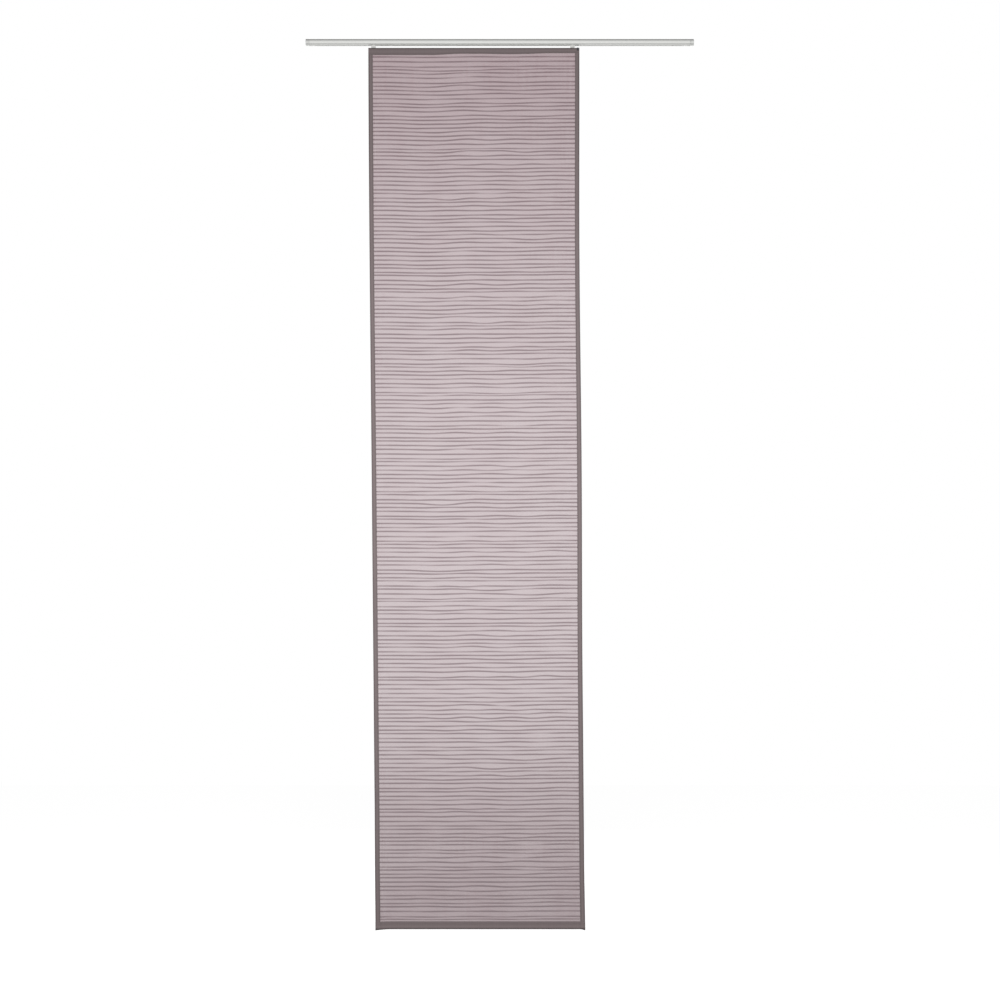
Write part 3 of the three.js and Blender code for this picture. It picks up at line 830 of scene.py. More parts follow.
@dataclass
class Studio:
    """The camera, the lamps, the pale floor and the white backdrop. Lengths in metres."""

    scale: float = 0.002808
    distance: float = 4.5
    cloth_plane: float = -0.007
    middle: Span = (0.0007, -1.295)
    sensor: float = 36.0
    pixels: int = 1000
    soft_light: float = 0.48
    front_lamp: float = 18.5
    back_lamp: float = 16.5
    lamp_size: float = 0.9
    lamp_distance: float = 1.65
    lamp_x: float = -0.07
    lamp_height: float = -1.2
    floor_half: Span = (3.2, 2.6)
    floor_height: float = -2.56
    floor_tone: Colour = (0.55, 0.55, 0.55)
    floor_glow: float = 0.72

    def camera(self) -> bpy.types.Object:
        """Makes the level camera: its lens shows one scale step to a pixel at the cloth.

        Returns:
            The camera.
        """
        data = bpy.data.cameras.new("camera")
        data.sensor_width = self.sensor
        data.lens = self.sensor * self.distance / (self.scale * self.pixels)
        camera = bpy.data.objects.new("camera", data)
        camera.location = (self.middle[0], self.cloth_plane - self.distance, self.middle[1])
        camera.rotation_euler = (math.pi / 2, 0.0, 0.0)
        bpy.context.scene.collection.objects.link(camera)
        bpy.context.scene.camera = camera
        return camera

    def _seen(self, recipe_tree: bpy.types.NodeTree) -> Socket:
        """Adds 1 for rays that show the backdrop, straight or in gloss or glass, and 0 for others.

        Args:
            recipe_tree: the node tree it goes into.

        Returns:
            The output that holds it.
        """
        path = recipe_tree.nodes.new("ShaderNodeLightPath")
        total = path.outputs["Is Camera Ray"]
        for kind in ("Is Glossy Ray", "Is Transmission Ray"):
            node = recipe_tree.nodes.new("ShaderNodeMath")
            node.operation = "MAXIMUM"
            recipe_tree.links.new(total, node.inputs[0])
            recipe_tree.links.new(path.outputs[kind], node.inputs[1])
            total = node.outputs[0]
        return total

    def backdrop(self) -> None:
        """Makes the world: plain white where it is seen, and soft even light elsewhere."""
        world = bpy.data.worlds.new("backdrop")
        bpy.context.scene.world = world
        world.use_nodes = True
        tree = world.node_tree
        background = tree.nodes["Background"]
        background.inputs["Color"].default_value = (1.0, 1.0, 1.0, 1.0)
        strength = tree.nodes.new("ShaderNodeMapRange")
        strength.inputs["To Min"].default_value = self.soft_light
        strength.inputs["To Max"].default_value = 1.0
        tree.links.new(self._seen(tree), strength.inputs["Value"])
        tree.links.new(strength.outputs[0], background.inputs["Strength"])

    def lamps(self) -> None:
        """Makes a soft square lamp before and one behind the panel, at its middle height."""
        for name, power, side in (("front", self.front_lamp, -1.0), ("back", self.back_lamp, 1.0)):
            data = bpy.data.lights.new(name + "_lamp", "AREA")
            data.shape = "SQUARE"
            data.size = self.lamp_size
            data.energy = power
            lamp = bpy.data.objects.new(name + "_lamp", data)
            lamp.location = (self.lamp_x, side * self.lamp_distance, self.lamp_height)
            lamp.rotation_euler = Vector((0.0, -side, 0.0)).to_track_quat("-Z", "Y").to_euler()
            lamp.visible_camera = False
            lamp.visible_glossy = False
            bpy.context.scene.collection.objects.link(lamp)

    def floor(self) -> None:
        """Makes the pale floor: white where it is lit, and still darkened by the object's shadow."""
        x, y, z = *self.floor_half, self.floor_height
        mesh = bpy.data.meshes.new("floor")
        mesh.from_pydata([(-x, -y, z), (x, -y, z), (x, y, z), (-x, y, z)], [], [(0, 1, 2, 3)])
        r = Recipe("pale_floor")
        seen = self._seen(r.tree)
        glow = r.math("MULTIPLY", seen, self.floor_glow)
        own = r.add("Emission", {"Color": (1.0, 1.0, 1.0, 1.0), "Strength": glow})
        lit = r.add("BsdfDiffuse", {"Color": rgba(self.floor_tone)})
        top = r.add("AddShader", {0: own, 1: lit})
        under = r.add("NewGeometry", output="Backfacing")
        clear = r.add("BsdfTransparent")
        mesh.materials.append(r.finish(r.add("MixShader", {0: under, 1: top, 2: clear})))
        floor = bpy.data.objects.new("floor", mesh)
        bpy.context.scene.collection.objects.link(floor)

    def build(self) -> None:
        """Makes everything round the object."""
        view = bpy.context.scene.view_settings
        view.view_transform = "Standard"
        self.backdrop()
        self.lamps()
        self.floor()


# Rail


@dataclass
class RailSet:
    """The rail, its end caps, the stops and their screws."""

    length: float = 1070.0
    diameter: float = 19.0
    wall: float = 1.3
    flat: float = 9.0
    roof: float = 1.8
    slot: float = 6.0
    ledge: float = 3.2
    hole: float = 4.2
    holes: tuple[float, ...] = (-475.0, -160.0, 160.0, 475.0)
    cap_length: float = 10.0
    cap_gap: float = 0.3
    cap_rounding: float = 1.3
    cap_edge: Span = (0.25, 0.3)
    stub: float = 8.0
    stub_taper: Span = (0.6, 0.92)
    stub_overlap: float = 0.8
    ledge_edge: float = 0.25
    lip: float = 0.15
    lip_heights: Span = (0.7, 1.0)
    stations: int = 12
    groove: float = -0.80
    groove_depth: float = 0.25
    groove_width: float = 0.06

    @property
    def radius(self) -> float:
        """Outer radius of the rail."""
        return self.diameter / 2

    @property
    def axis(self) -> float:
        """Height of the round section's middle below the flat top."""
        return -math.sqrt(self.radius**2 - (self.flat / 2) ** 2)

    @property
    def bottom(self) -> float:
        """Height of the rail's lowest point."""
        return self.axis - self.radius

    def arc(self, radius: float, start: float, end: float, count: int) -> Array:
        """Points on a circle round the axis, from one angle to another."""
        turn = np.linspace(start, end, count)
        return np.stack([radius * np.cos(turn), self.axis + radius * np.sin(turn)], axis=-1)

    def flank(self, start: float, end: float, count: int) -> Array:
        """Points on the rail's outside, with a groove along each lower flank.

        The radius falls by a bell round the groove's angle below the level of the axis.

        Args:
            start: first angle.
            end: last angle.
            count: number of points.

        Returns:
            Places across the rail, y and z.
        """
        turn = np.linspace(start, end, count)
        below = np.arcsin(np.sin(turn))
        radius = self.radius - self.groove_depth * bell(below - self.groove, self.groove_width)
        return np.stack([radius * np.cos(turn), self.axis + radius * np.sin(turn)], axis=-1)

    def solid_outline(self, inset: float, count: int = 96) -> Array:
        """Outside of the rail: a circle whose top is cut off level.

        Args:
            inset: how far the outline is drawn in.
            count: points on the circle.

        Returns:
            Places across the rail, y and z.
        """
        radius = self.radius - inset
        lift = math.asin((-inset - self.axis) / radius)
        return self.arc(radius, -math.pi - lift, lift, count)

    def tube_outline(self) -> Array:
        """Section of the rail: the cut-off circle outside, and inside a channel with ledges.

        The outside runs from the slot's right edge round the top to its left edge, and the
        inside comes back along the left ledge, the wall, the roof and the right ledge.

        Returns:
            Places across the rail, y and z.
        """
        half = self.slot / 2
        ledge = self.bottom + self.ledge
        foot = math.asin(-math.sqrt(self.radius**2 - half**2) / self.radius)
        top = math.asin(-self.axis / self.radius)
        inner = self.radius - self.wall
        roof = math.asin((-self.roof - self.axis) / inner)
        shelf = math.asin((ledge - self.axis) / inner)
        lip_low, lip_high = (self.bottom + height for height in self.lip_heights)
        right = np.array(
            [
                [half + self.ledge_edge, ledge],
                [half, ledge - self.ledge_edge],
                [half, lip_high],
                [half - self.lip, lip_low],
            ]
        )
        parts = [
            self.flank(foot, top, 90),
            self.flank(math.pi - top, math.pi - foot, 90),
            right[::-1] * (-1.0, 1.0),
            self.arc(inner, math.pi - shelf, math.pi - roof, 26),
            self.arc(inner, roof, shelf, 26),
            right,
        ]
        return np.concatenate(parts)

    def along(self, outline: Array, stations: Array) -> Array:
        """Carries a section along X: the same y and z at every station.

        Args:
            outline: the section, points x 2.
            stations: places along X.

        Returns:
            stations x points x 3 places.
        """
        grid = np.empty((len(stations), len(outline), 3))
        grid[..., 0] = stations[:, None]
        grid[..., 1:] = outline[None]
        return grid

    def tube(self) -> bpy.types.Object:
        """Makes the rail, with its screw holes bored through the roof.

        Returns:
            The rail.
        """
        shell = Shell()
        half = self.length / 2
        stations = np.linspace(-half, half, self.stations)
        shell.add_grid(self.along(self.tube_outline(), stations), wrap=True, ends=True)
        rail = shell.build("rail_tube")
        bore = Shell()
        turn = np.linspace(0.0, 2.0 * math.pi, 32, endpoint=False)
        for x in self.holes:
            ring = np.stack([x + self.hole / 2 * np.cos(turn), self.hole / 2 * np.sin(turn)], axis=-1)
            grid = np.empty((2, len(turn), 3))
            grid[..., :2] = ring[None]
            grid[..., 2] = np.array([-self.roof - 1.0, 1.0])[:, None]
            bore.add_grid(grid, wrap=True, ends=True)
        cutter = bore.build("bore")
        step = rail.modifiers.new("bore", "BOOLEAN")
        step.operation, step.solver, step.object = "DIFFERENCE", "EXACT", cutter
        graph = bpy.context.evaluated_depsgraph_get()
        bored = bpy.data.meshes.new_from_object(rail.evaluated_get(graph))
        rail.modifiers.clear()
        rail.data = bored
        bpy.data.objects.remove(cutter)
        return rail

    def cap(self, side: Side) -> bpy.types.Object:
        """Makes an end cap: the rail's outline, drawn in along a quarter round at its outer end.

        Args:
            side: the end of the rail.

        Returns:
            The cap with its stub.
        """
        inner = self.length / 2 + self.cap_gap
        outer = inner + self.cap_length
        turn = np.linspace(0.0, math.pi / 2, 7)
        edge_run, edge_inset = self.cap_edge
        rounding = self.cap_rounding
        x = np.concatenate([[inner, inner + edge_run], outer - rounding + rounding * np.sin(turn)])
        inset = np.concatenate([[edge_inset, 0.0], rounding * (1.0 - np.cos(turn))])
        sections = np.stack([self.solid_outline(i) for i in inset])
        head = np.empty((*sections.shape[:2], 3))
        head[..., 0] = x[:, None]
        head[..., 1:] = sections
        shell = Shell()
        for grid in (head, self.stub_grid()):
            shell.add_grid(grid * (side.value, 1.0, 1.0), wrap=True, ends=True)
        return shell.build("rail_cap_" + side.label)

    def stub_grid(self) -> Array:
        """Makes the part of a right end cap that fills the rail's channel.

        Returns:
            The grid of its surface.
        """
        half = self.length / 2
        inside = self.radius - self.wall - self.cap_gap
        roof = math.asin((-self.roof - self.cap_gap - self.axis) / inside)
        shelf = math.asin((self.bottom + self.ledge + self.cap_gap - self.axis) / inside)
        right = self.arc(inside, shelf, roof, 16)
        left = self.arc(inside, math.pi - roof, math.pi - shelf, 16)
        run, narrow = self.stub_taper
        start, end = half - self.stub, half + self.cap_gap + self.stub_overlap
        grid = self.along(np.concatenate([right, left]), np.array([start, start + run, end]))
        grid[0, :, 1] *= narrow
        return grid

    def dress(self) -> None:
        """Makes the pieces of the rail and gives the stops and screws their finishes."""
        # The rail and its end caps get painted shade towards the top and along the lower flank.
        shoulder_shade = PaintedShoulderShade(self.axis, self.radius)
        tube_finish = AnodisedFinish("anodised_rail", shoulder_shade=shoulder_shade).build()
        grey = MouldedFinish("grey_plastic", (0.88, 0.89, 0.865), 0.4, shoulder_shade=shoulder_shade).build()
        rail = self.tube()
        place_piece(rail, Body.TRACK, tube_finish, "aluminium", "rail")
        for side in Side:
            place_piece(self.cap(side), Body.TRACK, grey, "grey_plastic", "end_cap_" + side.label)
        white = MouldedFinish("stop_plastic", (0.86, 0.86, 0.84), 0.4).build()
        steel = TurnedSteelFinish().build()
        for side in Side:
            dress_node("end_stop_" + side.label, white)
            dress_node("stop_screw_" + side.label, steel)
        LOG.info("rail: tube, two caps, two stops and their screws")


# Panel


@dataclass(frozen=True)
class Hang:
    """How the cloth hangs from its flat pattern: it leans sideways and its lower corners droop.

    The places of the bows are shares of the way down. The left edge has a hump, given by its
    middle and its half width, and steps out again at its foot. The right edge waves, calms
    over a span and comes back at its foot.
    """

    width: float = 591.0
    height: float = 2475.0
    offset: float = -73.0
    top: float = -25.367
    lean_left: float = 20.4
    lean_left_power: float = 1.15
    lean_right: float = 17.7
    lean_right_power: float = 1.35
    bow: float = 1.1
    left_hump: Span = (0.17, 0.36)
    left_foot: Span = (0.86, 0.94)
    left_foot_share: float = 0.8
    right_wave: float = 0.47
    right_calms: Span = (0.64, 0.86)
    right_foot: Span = (0.93, 1.0)
    droop: float = 3.4
    droop_reach: float = 60.0
    bar_inset_left: float = 48.0
    bar_inset_right: float = 17.0

    @property
    def left(self) -> float:
        """The cloth's left edge on the flat pattern."""
        return self.offset - self.width / 2

    @property
    def right(self) -> float:
        """The cloth's right edge on the flat pattern."""
        return self.offset + self.width / 2

    @property
    def bottom(self) -> float:
        """The cloth's bottom edge."""
        return self.top - self.height

    def edge(self, side: Side) -> float:
        """One of the cloth's side edges on the flat pattern."""
        return self.left if side is Side.LEFT else self.right

    def cloth_uv(self, flat: Array) -> Array:
        """Places on the cut cloth in metres: across, and up from its top edge."""
        return np.stack([flat[..., 0] * MM, (flat[..., 2] - self.top) * MM], axis=-1)

    def bows(self, down: Array) -> tuple[Array, Array]:
        """How far the edges bow sideways.

        Args:
            down: share of the way down, from 0 to 1.

        Returns:
            Shifts of the left and the right edge.
        """
        calm = smooth_step(*self.right_calms, down)
        left = hump(down, *self.left_hump) + self.left_foot_share * smooth_step(*self.left_foot, down)
        wave = (1.0 - calm) * np.cos(2.0 * math.pi * down / self.right_wave)
        right = wave - calm * (1.0 - smooth_step(*self.right_foot, down))
        return -self.bow * left, self.bow * right

    def place(self, flat: Array) -> Array:
        """Hangs points of the flat pattern.

        A point moves right by a power of its share of the way down, mixed from the left edge's
        to the right edge's, bows with the nearer edge and sinks by a parabola beyond the end
        of the bar.

        Args:
            flat: places on the flat pattern, x, y and z.

        Returns:
            The same places as the cloth hangs.
        """
        hung = flat.copy()
        x, z = flat[..., 0], flat[..., 2]
        down = np.clip((self.top - z) / self.height, 0.0, 1.0)
        across = (x - self.left) / self.width
        bow_left, bow_right = self.bows(down)
        left = self.lean_left * down**self.lean_left_power + bow_left
        right = self.lean_right * down**self.lean_right_power + bow_right
        hung[..., 0] += left + (right - left) * across
        fade = np.clip(1.0 - (z - self.bottom) / self.droop_reach, 0.0, 1.0)
        before = np.maximum(0.0, 1.0 - (x - self.left) / self.bar_inset_left)
        after = np.maximum(0.0, 1.0 - (self.right - x) / self.bar_inset_right)
        hung[..., 2] -= self.droop * fade * (before**2 + after**2)
        return hung


@dataclass
class RibbedField:
    """The sheer field between the hems, with its wavy slub lines.

    A pair is the least and the most of a size, the start and the end of a change, or the value
    near a line's crest and the value farther down its slope.
    """

    hang: Hang = field(default_factory=Hang)
    hem_inside: float = 7.2
    top_hem: Span = (17.4, 14.4)
    pocket: float = 22.0
    pocket_overlap: float = 1.3
    pitch: float = 11.6
    top_margin: float = 9.0
    low_margin: float = 5.0
    foot: float = -6.3
    relief: float = 0.55
    line_width: Span = (1.38, 3.1)
    line_share: Span = (0.17, 0.36)
    line_height: Span = (0.66, 0.14)
    calm_left: float = 98.0
    calm_right: float = 30.0
    swell: float = 3.4
    swell_centre: float = -205.0
    swell_half: float = 126.0
    turn_over: float = 0.53
    rise: float = 0.8
    step: float = 1.5
    step_span: Span = (45.0, 174.0)
    edge_fade: float = 70.0
    ripple_length: Span = (110.0, 320.0)
    ripple_size: Span = (0.25, 1.05)
    uneven: float = 1.35
    uneven_most: float = 2.0
    odd_share: float = 0.16
    lean: float = 0.34
    lean_reach: Span = (60.0, 170.0)
    least_gap: float = 2.6
    strength: Span = (0.72, 1.0)
    throb: float = 0.12
    throb_length: float = 23.0
    fading: float = 0.38
    fading_reach: Span = (30.0, 110.0)
    columns: int = 64
    seed: int = 11

    def across(self) -> Array:
        """Places of the grid's columns on the flat pattern."""
        return np.linspace(self.hang.left + self.hem_inside, self.hang.right - self.hem_inside, self.columns)

    def levels(self) -> Array:
        """Even heights of the lines before they wave.

        Returns:
            A column from the top line to the lowest.
        """
        first = self.hang.top - max(self.top_hem) - self.top_margin
        last = self.hang.bottom + self.pocket + self.low_margin
        return np.linspace(first, last, round((first - last) / self.pitch) + 1)[:, None]

    def window(self, x: Array) -> Array:
        """How far the lines may ripple at each place: the root of a sine between the calm sides."""
        start, end = self.hang.left + self.calm_left, self.hang.right - self.calm_right
        return np.sqrt(np.sin(math.pi * np.clip((x - start) / (end - start), 0.0, 1.0)))

    def shared(self, x: Array, level: Array) -> Array:
        """The course that neighbouring lines share.

        It is a slow rise to the right with a soft step near the right edge, and a dip that
        turns into a crest in the lower half.

        Args:
            x: places across.
            level: even heights of the lines, as a column.

        Returns:
            Shifts up, lines x columns.
        """
        hang = self.hang
        down = (hang.top - level) / hang.height
        dip = hump(x, self.swell_centre, self.swell_half)
        swell = self.swell * (down / self.turn_over - 1.0) * dip + self.step * smooth_step(*self.step_span, x)
        return self.rise * ((x - hang.left) / hang.width - 0.5) + swell

    def spaced(self, lines: Array, level: Array) -> Array:
        """Keeps the gaps between lines above the least gap, with the same height over all.

        Args:
            lines: heights, lines x columns.
            level: even heights of the lines, as a column.

        Returns:
            Heights, lines x columns.
        """
        gaps = np.maximum(-np.diff(lines, axis=0), self.least_gap)
        gaps *= (level[0] - level[-1]) / gaps.sum(axis=0)
        return np.concatenate([np.zeros((1, lines.shape[1])), -np.cumsum(gaps, axis=0)]) + lines[:1]

    def curves(self, x: Array) -> tuple[Array, Array]:
        """Heights of the slub lines at each column, and how strong each line is there.

        A line keeps its own level, uneven by a millimetre or so. To that come the shared course
        and a ripple of each line's own. Some lines lean over to their neighbour for a stretch,
        and some fade out for a stretch.

        Args:
            x: places across.

        Returns:
            Heights and strengths, lines x columns.
        """
        hang, random, level = self.hang, np.random.default_rng(self.seed), self.levels()
        count = len(level)
        edge = np.clip(np.minimum(hang.top - level, level - hang.bottom) / self.edge_fade, 0.0, 1.0)
        length = random.uniform(*self.ripple_length, (count, 2))
        phase = random.uniform(0.0, 2.0 * math.pi, (count, 2))
        size = random.uniform(*self.ripple_size, (count, 2))
        turns = [2.0 * math.pi * x / length[:, k, None] + phase[:, k, None] for k in range(2)]
        own = sum(size[:, k, None] * np.sin(turn) for k, turn in enumerate(turns))
        most = self.uneven_most
        uneven = np.clip(random.normal(0.0, 1.0, (count, 1)), -most, most) * self.uneven
        leaning = self.stretches(x, random, count, self.lean_reach)
        lean = leaning * random.choice([-1.0, 1.0], (count, 1)) * self.lean * self.pitch
        lines = level + uneven + edge * (self.shared(x, level) + self.window(x) * own) + lean
        strength = random.uniform(*self.strength, (count, 1))
        strength = strength + self.throb * np.sin(x / self.throb_length + phase[:, :1])
        strength = strength * (1.0 - self.fading * self.stretches(x, random, count, self.fading_reach))
        return self.spaced(lines, level), np.clip(strength, 0.0, 1.0)

    def stretches(self, x: Array, random: np.random.Generator, count: int, reach: Span) -> Array:
        """Humps that rise from 0 to 1 over a stretch of some of the lines.

        Args:
            x: places across.
            random: where the choices come from.
            count: number of lines.
            reach: least and most half length of a stretch.

        Returns:
            Heights of the humps, lines x columns.
        """
        chosen = random.random((count, 1)) < self.odd_share
        centre = random.uniform(self.hang.left + self.calm_left, self.hang.right, (count, 1))
        half = random.uniform(*reach, (count, 1))
        return chosen * hump(x, centre, half) * self.window(x)

    def build(self) -> bpy.types.Object:
        """Makes the field.

        Between two lines lie six rows: the crest of the upper line, two on its lower slope, the
        middle of the gap, and two on the upper slope of the next line. A line stands proud by
        the relief times its strength.

        Returns:
            The field.
        """
        hang, x = self.hang, self.across()
        lines, strength = self.curves(x)
        top = np.full((1, len(x)), hang.top - min(self.top_hem) / 2)
        low = np.full((1, len(x)), hang.bottom + self.pocket - self.pocket_overlap)
        none = np.zeros((1, len(x)))
        curves = np.concatenate([top, lines, low])
        power = np.concatenate([none, strength, none])
        gap = curves[:-1] - curves[1:]
        near = np.minimum(self.line_width[0], self.line_share[0] * gap)
        far = np.minimum(self.line_width[1], self.line_share[1] * gap)
        drop = np.stack([0.0 * gap, near, far, gap / 2, gap - far, gap - near], axis=1)
        high, slight = self.line_height
        upper = np.array([1.0, high, slight, 0.0, 0.0, 0.0])[:, None]
        lower = np.array([0.0, 0.0, 0.0, 0.0, slight, high])[:, None]
        raised = power[:-1, None] * upper + power[1:, None] * lower
        raised = np.concatenate([raised.reshape(-1, len(x)), none])
        z = np.concatenate([(curves[:-1, None] - drop).reshape(-1, len(x)), low])
        grid = np.stack([np.broadcast_to(x, z.shape), self.foot - self.relief * raised, z], axis=-1)
        shell = Shell()
        shell.add_grid(hang.place(grid), flip=True, uv=hang.cloth_uv(grid), value=raised)
        return shell.build("cloth_field", sharp=math.radians(80.0))


@dataclass
class Hems:
    """The folded edges of the cloth and the pocket for the bar.

    A back or a front is a depth, which is a place along Y. A shade is painted shade in the
    cloth's colour, a bell given by how dark it is and how wide; a highlight is painted the same
    way. A pucker is a wave along a hem, given by its size and its length. A span says where a
    change starts and where it ends.
    """

    hang: Hang = field(default_factory=Hang)
    side_top: float = 12.2
    side_bottom: float = 13.8
    side_below_top: float = 0.4
    side_rows: int = 620
    side_back: float = -5.3
    side_front: float = -7.0
    # Painted shade along a side hem's fold: the least, what is added towards the top, and where that rise
    # runs.
    side_fold_painted_shade: Span = (0.8, 0.48)
    side_fold_shade_span: Span = (0.06, 0.22)
    side_puckers: tuple[Span, Span] = ((0.07, 2.1), (0.05, 5.3))
    top_left: float = 19.8
    top_step: float = 3.5
    top_step_span: Span = (-190.0, -110.0)
    top_bulge: float = 1.1
    top_bulge_middle: float = 25.0
    top_bulge_half: float = 90.0
    top_taper: float = 1.8
    top_taper_span: Span = (65.0, 155.0)
    top_columns: int = 150
    top_back: float = -5.0
    top_front: float = -7.4
    # Painted shade along the top hem's fold, and an even painted shade over the whole top hem.
    top_fold_painted_shade: float = 1.05
    top_painted_shade: float = 0.1
    top_pucker: Span = (0.06, 2.3)
    pucker_width: float = 2.6
    # Width of the painted shade along a fold, the painted shade at the stitches, and the painted highlight in
    # a hem's middle with its place.
    fold_shade_width: float = 2.7
    seam_painted_shade: Span = (0.27, 1.3)
    middle_painted_highlight: Span = (0.2, 3.0)
    middle_highlight_place: float = 0.45
    pocket_height: float = 22.0
    pocket_middle: float = -6.5
    pocket_width: float = 5.2
    pocket_ply: float = 0.6
    slot_gap: float = 0.2
    slot_narrows: float = 0.9
    pocket_hollow: float = 0.18
    pocket_points: int = 72
    pocket_thicker: float = 0.05
    pocket_thins_over: float = 0.8
    # Painted shade along the pocket's bottom fold, at its ends, over the side hems' edges and in its corners,
    # and a painted highlight where the bar bulges.
    pocket_fold_painted_shade: float = 1.3
    pocket_fold_shade_span: Span = (2.0, 5.0)
    pocket_painted_highlight: Span = (0.28, 3.5)
    pocket_highlight_height: float = 9.0
    end_painted_shade: Span = (0.6, 2.6)
    hem_edge_painted_shade: Span = (0.25, 1.4)
    corner_painted_shade: Span = (0.8, 8.5)
    corner_shade_span: Span = (3.0, 11.0)
    seam: float = 2.6
    seam_half: float = 0.75
    seam_row: float = 0.45
    seam_row_half: float = 0.50
    side_row_below: float = 3.0
    stitch_in: float = 2.1
    stitch_pitch: float = 4.2
    stitch_share: float = 0.38
    stitch_radius: float = 0.24
    stitch_taper: float = 0.75
    stitch_sink: float = 0.16
    sunk_front: float = 0.10
    sunk_side_back: float = 0.08
    sunk_top_back: float = 0.02

    def fold(self, back: float, front: float) -> Array:
        """Section of a folded edge: a round fold, a front ply and a back ply with a slit between.

        Each row is (share of the width, distance beyond it, depth). The front ply dips where it
        is sewn.

        Args:
            back: depth of the back face.
            front: depth of the front face.

        Returns:
            Rows of the closed outline.
        """
        middle, half = (back + front) / 2, (back - front) / 2
        turn = np.linspace(-0.5 * math.pi, -1.5 * math.pi, 9)
        fold = np.stack([0.0 * turn, half * (1 + np.cos(turn)), middle + half * np.sin(turn)], axis=-1)
        sewn = -self.stitch_in
        face = [
            [0.25, 0.0, front - 0.10],
            [0.55, 0.0, front - 0.06],
            [1.0, sewn - 1.2, front],
            [1.0, sewn - 0.4, front + 0.16],
            [1.0, sewn + 0.4, front + 0.16],
            [1.0, -0.7, front - 0.02],
            [1.0, -0.2, front + 0.16],
            [1.0, 0.0, front + 0.4],
            [1.0, 0.0, front + 0.75],
            [1.0, -0.25, front + 0.95],
            [1.0, -1.2, front + 0.98],
            [1.0, -1.2, back - 0.62],
            [1.0, -0.2, back - 0.58],
            [1.0, 0.0, back - 0.4],
            [1.0, -0.15, back - 0.06],
            [1.0, -0.6, back],
            [1.0, sewn, back - 0.08],
            [0.5, 0.0, back],
        ]
        return np.concatenate([fold[::-1], np.array(face)])

    def side_width(self, z: Array) -> Array:
        """Width of a side hem at each height: it grows evenly towards the bottom."""
        return self.side_top + (self.side_bottom - self.side_top) * (self.hang.top - z) / self.hang.height

    def top_depth(self, x: Array) -> Array:
        """Depth of the top hem at each place across.

        It is deepest at the left, steps down in its left middle, swells in its right middle
        and narrows again towards the right edge.

        Args:
            x: places across.

        Returns:
            The hem's depth at each place.
        """
        bulge = hump(x, self.top_bulge_middle, self.top_bulge_half)
        step = self.top_step * smooth_step(*self.top_step_span, x)
        taper = self.top_taper * smooth_step(*self.top_taper_span, x)
        return self.top_left - (step + taper) + self.top_bulge * bulge

    def near_seam(self, inward: Array, width: Array, reach: float) -> Array:
        """A bell round a hem's line of stitches, for places at a distance from its fold."""
        return bell(inward - width + self.stitch_in, reach)

    def painted_creases(self, inward: Array, width: Array, fold: float | Array) -> Array:
        """Painted shade on a folded edge at each place: bells at the fold and at the stitches.

        Args:
            inward: distance from the fold.
            width: width of the hem there.
            fold: painted shade along the fold.

        Returns:
            Painted darkness, below 0 where a painted highlight lightens the middle.
        """
        sewn, sewn_width = self.seam_painted_shade
        shine, shine_width = self.middle_painted_highlight
        outer = fold * bell(inward, self.fold_shade_width)
        middle = shine * bell(inward - self.middle_highlight_place * width, shine_width)
        return outer + sewn * self.near_seam(inward, width, sewn_width) - middle

    def hem(self, name: str, flat: tuple[Array, Array, Array], dark: Array) -> bpy.types.Object:
        """Hangs a folded edge and closes its ends.

        Args:
            name: the piece's name.
            flat: x, y and z of its surface on the flat pattern, for rows and columns.
            dark: painted shade at each place, below 0 for a painted highlight.

        Returns:
            The hem.
        """
        grid = np.stack(np.broadcast_arrays(*flat), axis=-1)
        uv = self.hang.cloth_uv(grid)
        shell = Shell()
        shell.add_grid(self.hang.place(grid), wrap=True, ends=True, uv=uv, value=dark)
        return shell.build(name, sharp=math.radians(70.0))

    def side(self, side: Side) -> bpy.types.Object:
        """Makes a side hem: the folded section carried down the cloth.

        Args:
            side: the edge.

        Returns:
            The hem.
        """
        hang = self.hang
        outline = self.fold(self.side_back, self.side_front)
        end = hang.bottom + self.pocket_height - self.seam
        z = np.linspace(hang.top - self.side_below_top, end, self.side_rows)[:, None]
        width = self.side_width(z)
        inward = outline[:, 0] * width + outline[:, 1]
        pucker = sum(size * np.sin(z / length) for size, length in self.side_puckers)
        y = outline[:, 2] + pucker * self.near_seam(inward, width, self.pucker_width)
        # Painted shade along the fold, growing towards the top of the cloth.
        least, more = self.side_fold_painted_shade
        fold = least + more * (1.0 - smooth_step(*self.side_fold_shade_span, (hang.top - z) / hang.height))
        flat = (hang.edge(side) - side.value * inward, y, z)
        return self.hem("side_hem_" + side.label, flat, self.painted_creases(inward, width, fold))

    def top(self) -> bpy.types.Object:
        """Makes the top hem: the folded section carried across the cloth.

        Returns:
            The hem.
        """
        hang = self.hang
        outline = self.fold(self.top_back, self.top_front)
        x = np.linspace(hang.left, hang.right, self.top_columns)[:, None]
        width = self.top_depth(x)
        inward = outline[:, 0] * width + outline[:, 1]
        size, length = self.top_pucker
        y = outline[:, 2] + size * np.sin(x / length) * self.near_seam(inward, width, self.pucker_width)
        # Painted shade along the fold and at the stitches, and an even painted shade over the whole top hem.
        dark = self.painted_creases(inward, width, self.top_fold_painted_shade) + self.top_painted_shade
        return self.hem("top_hem", (x, y, hang.top - inward), dark)

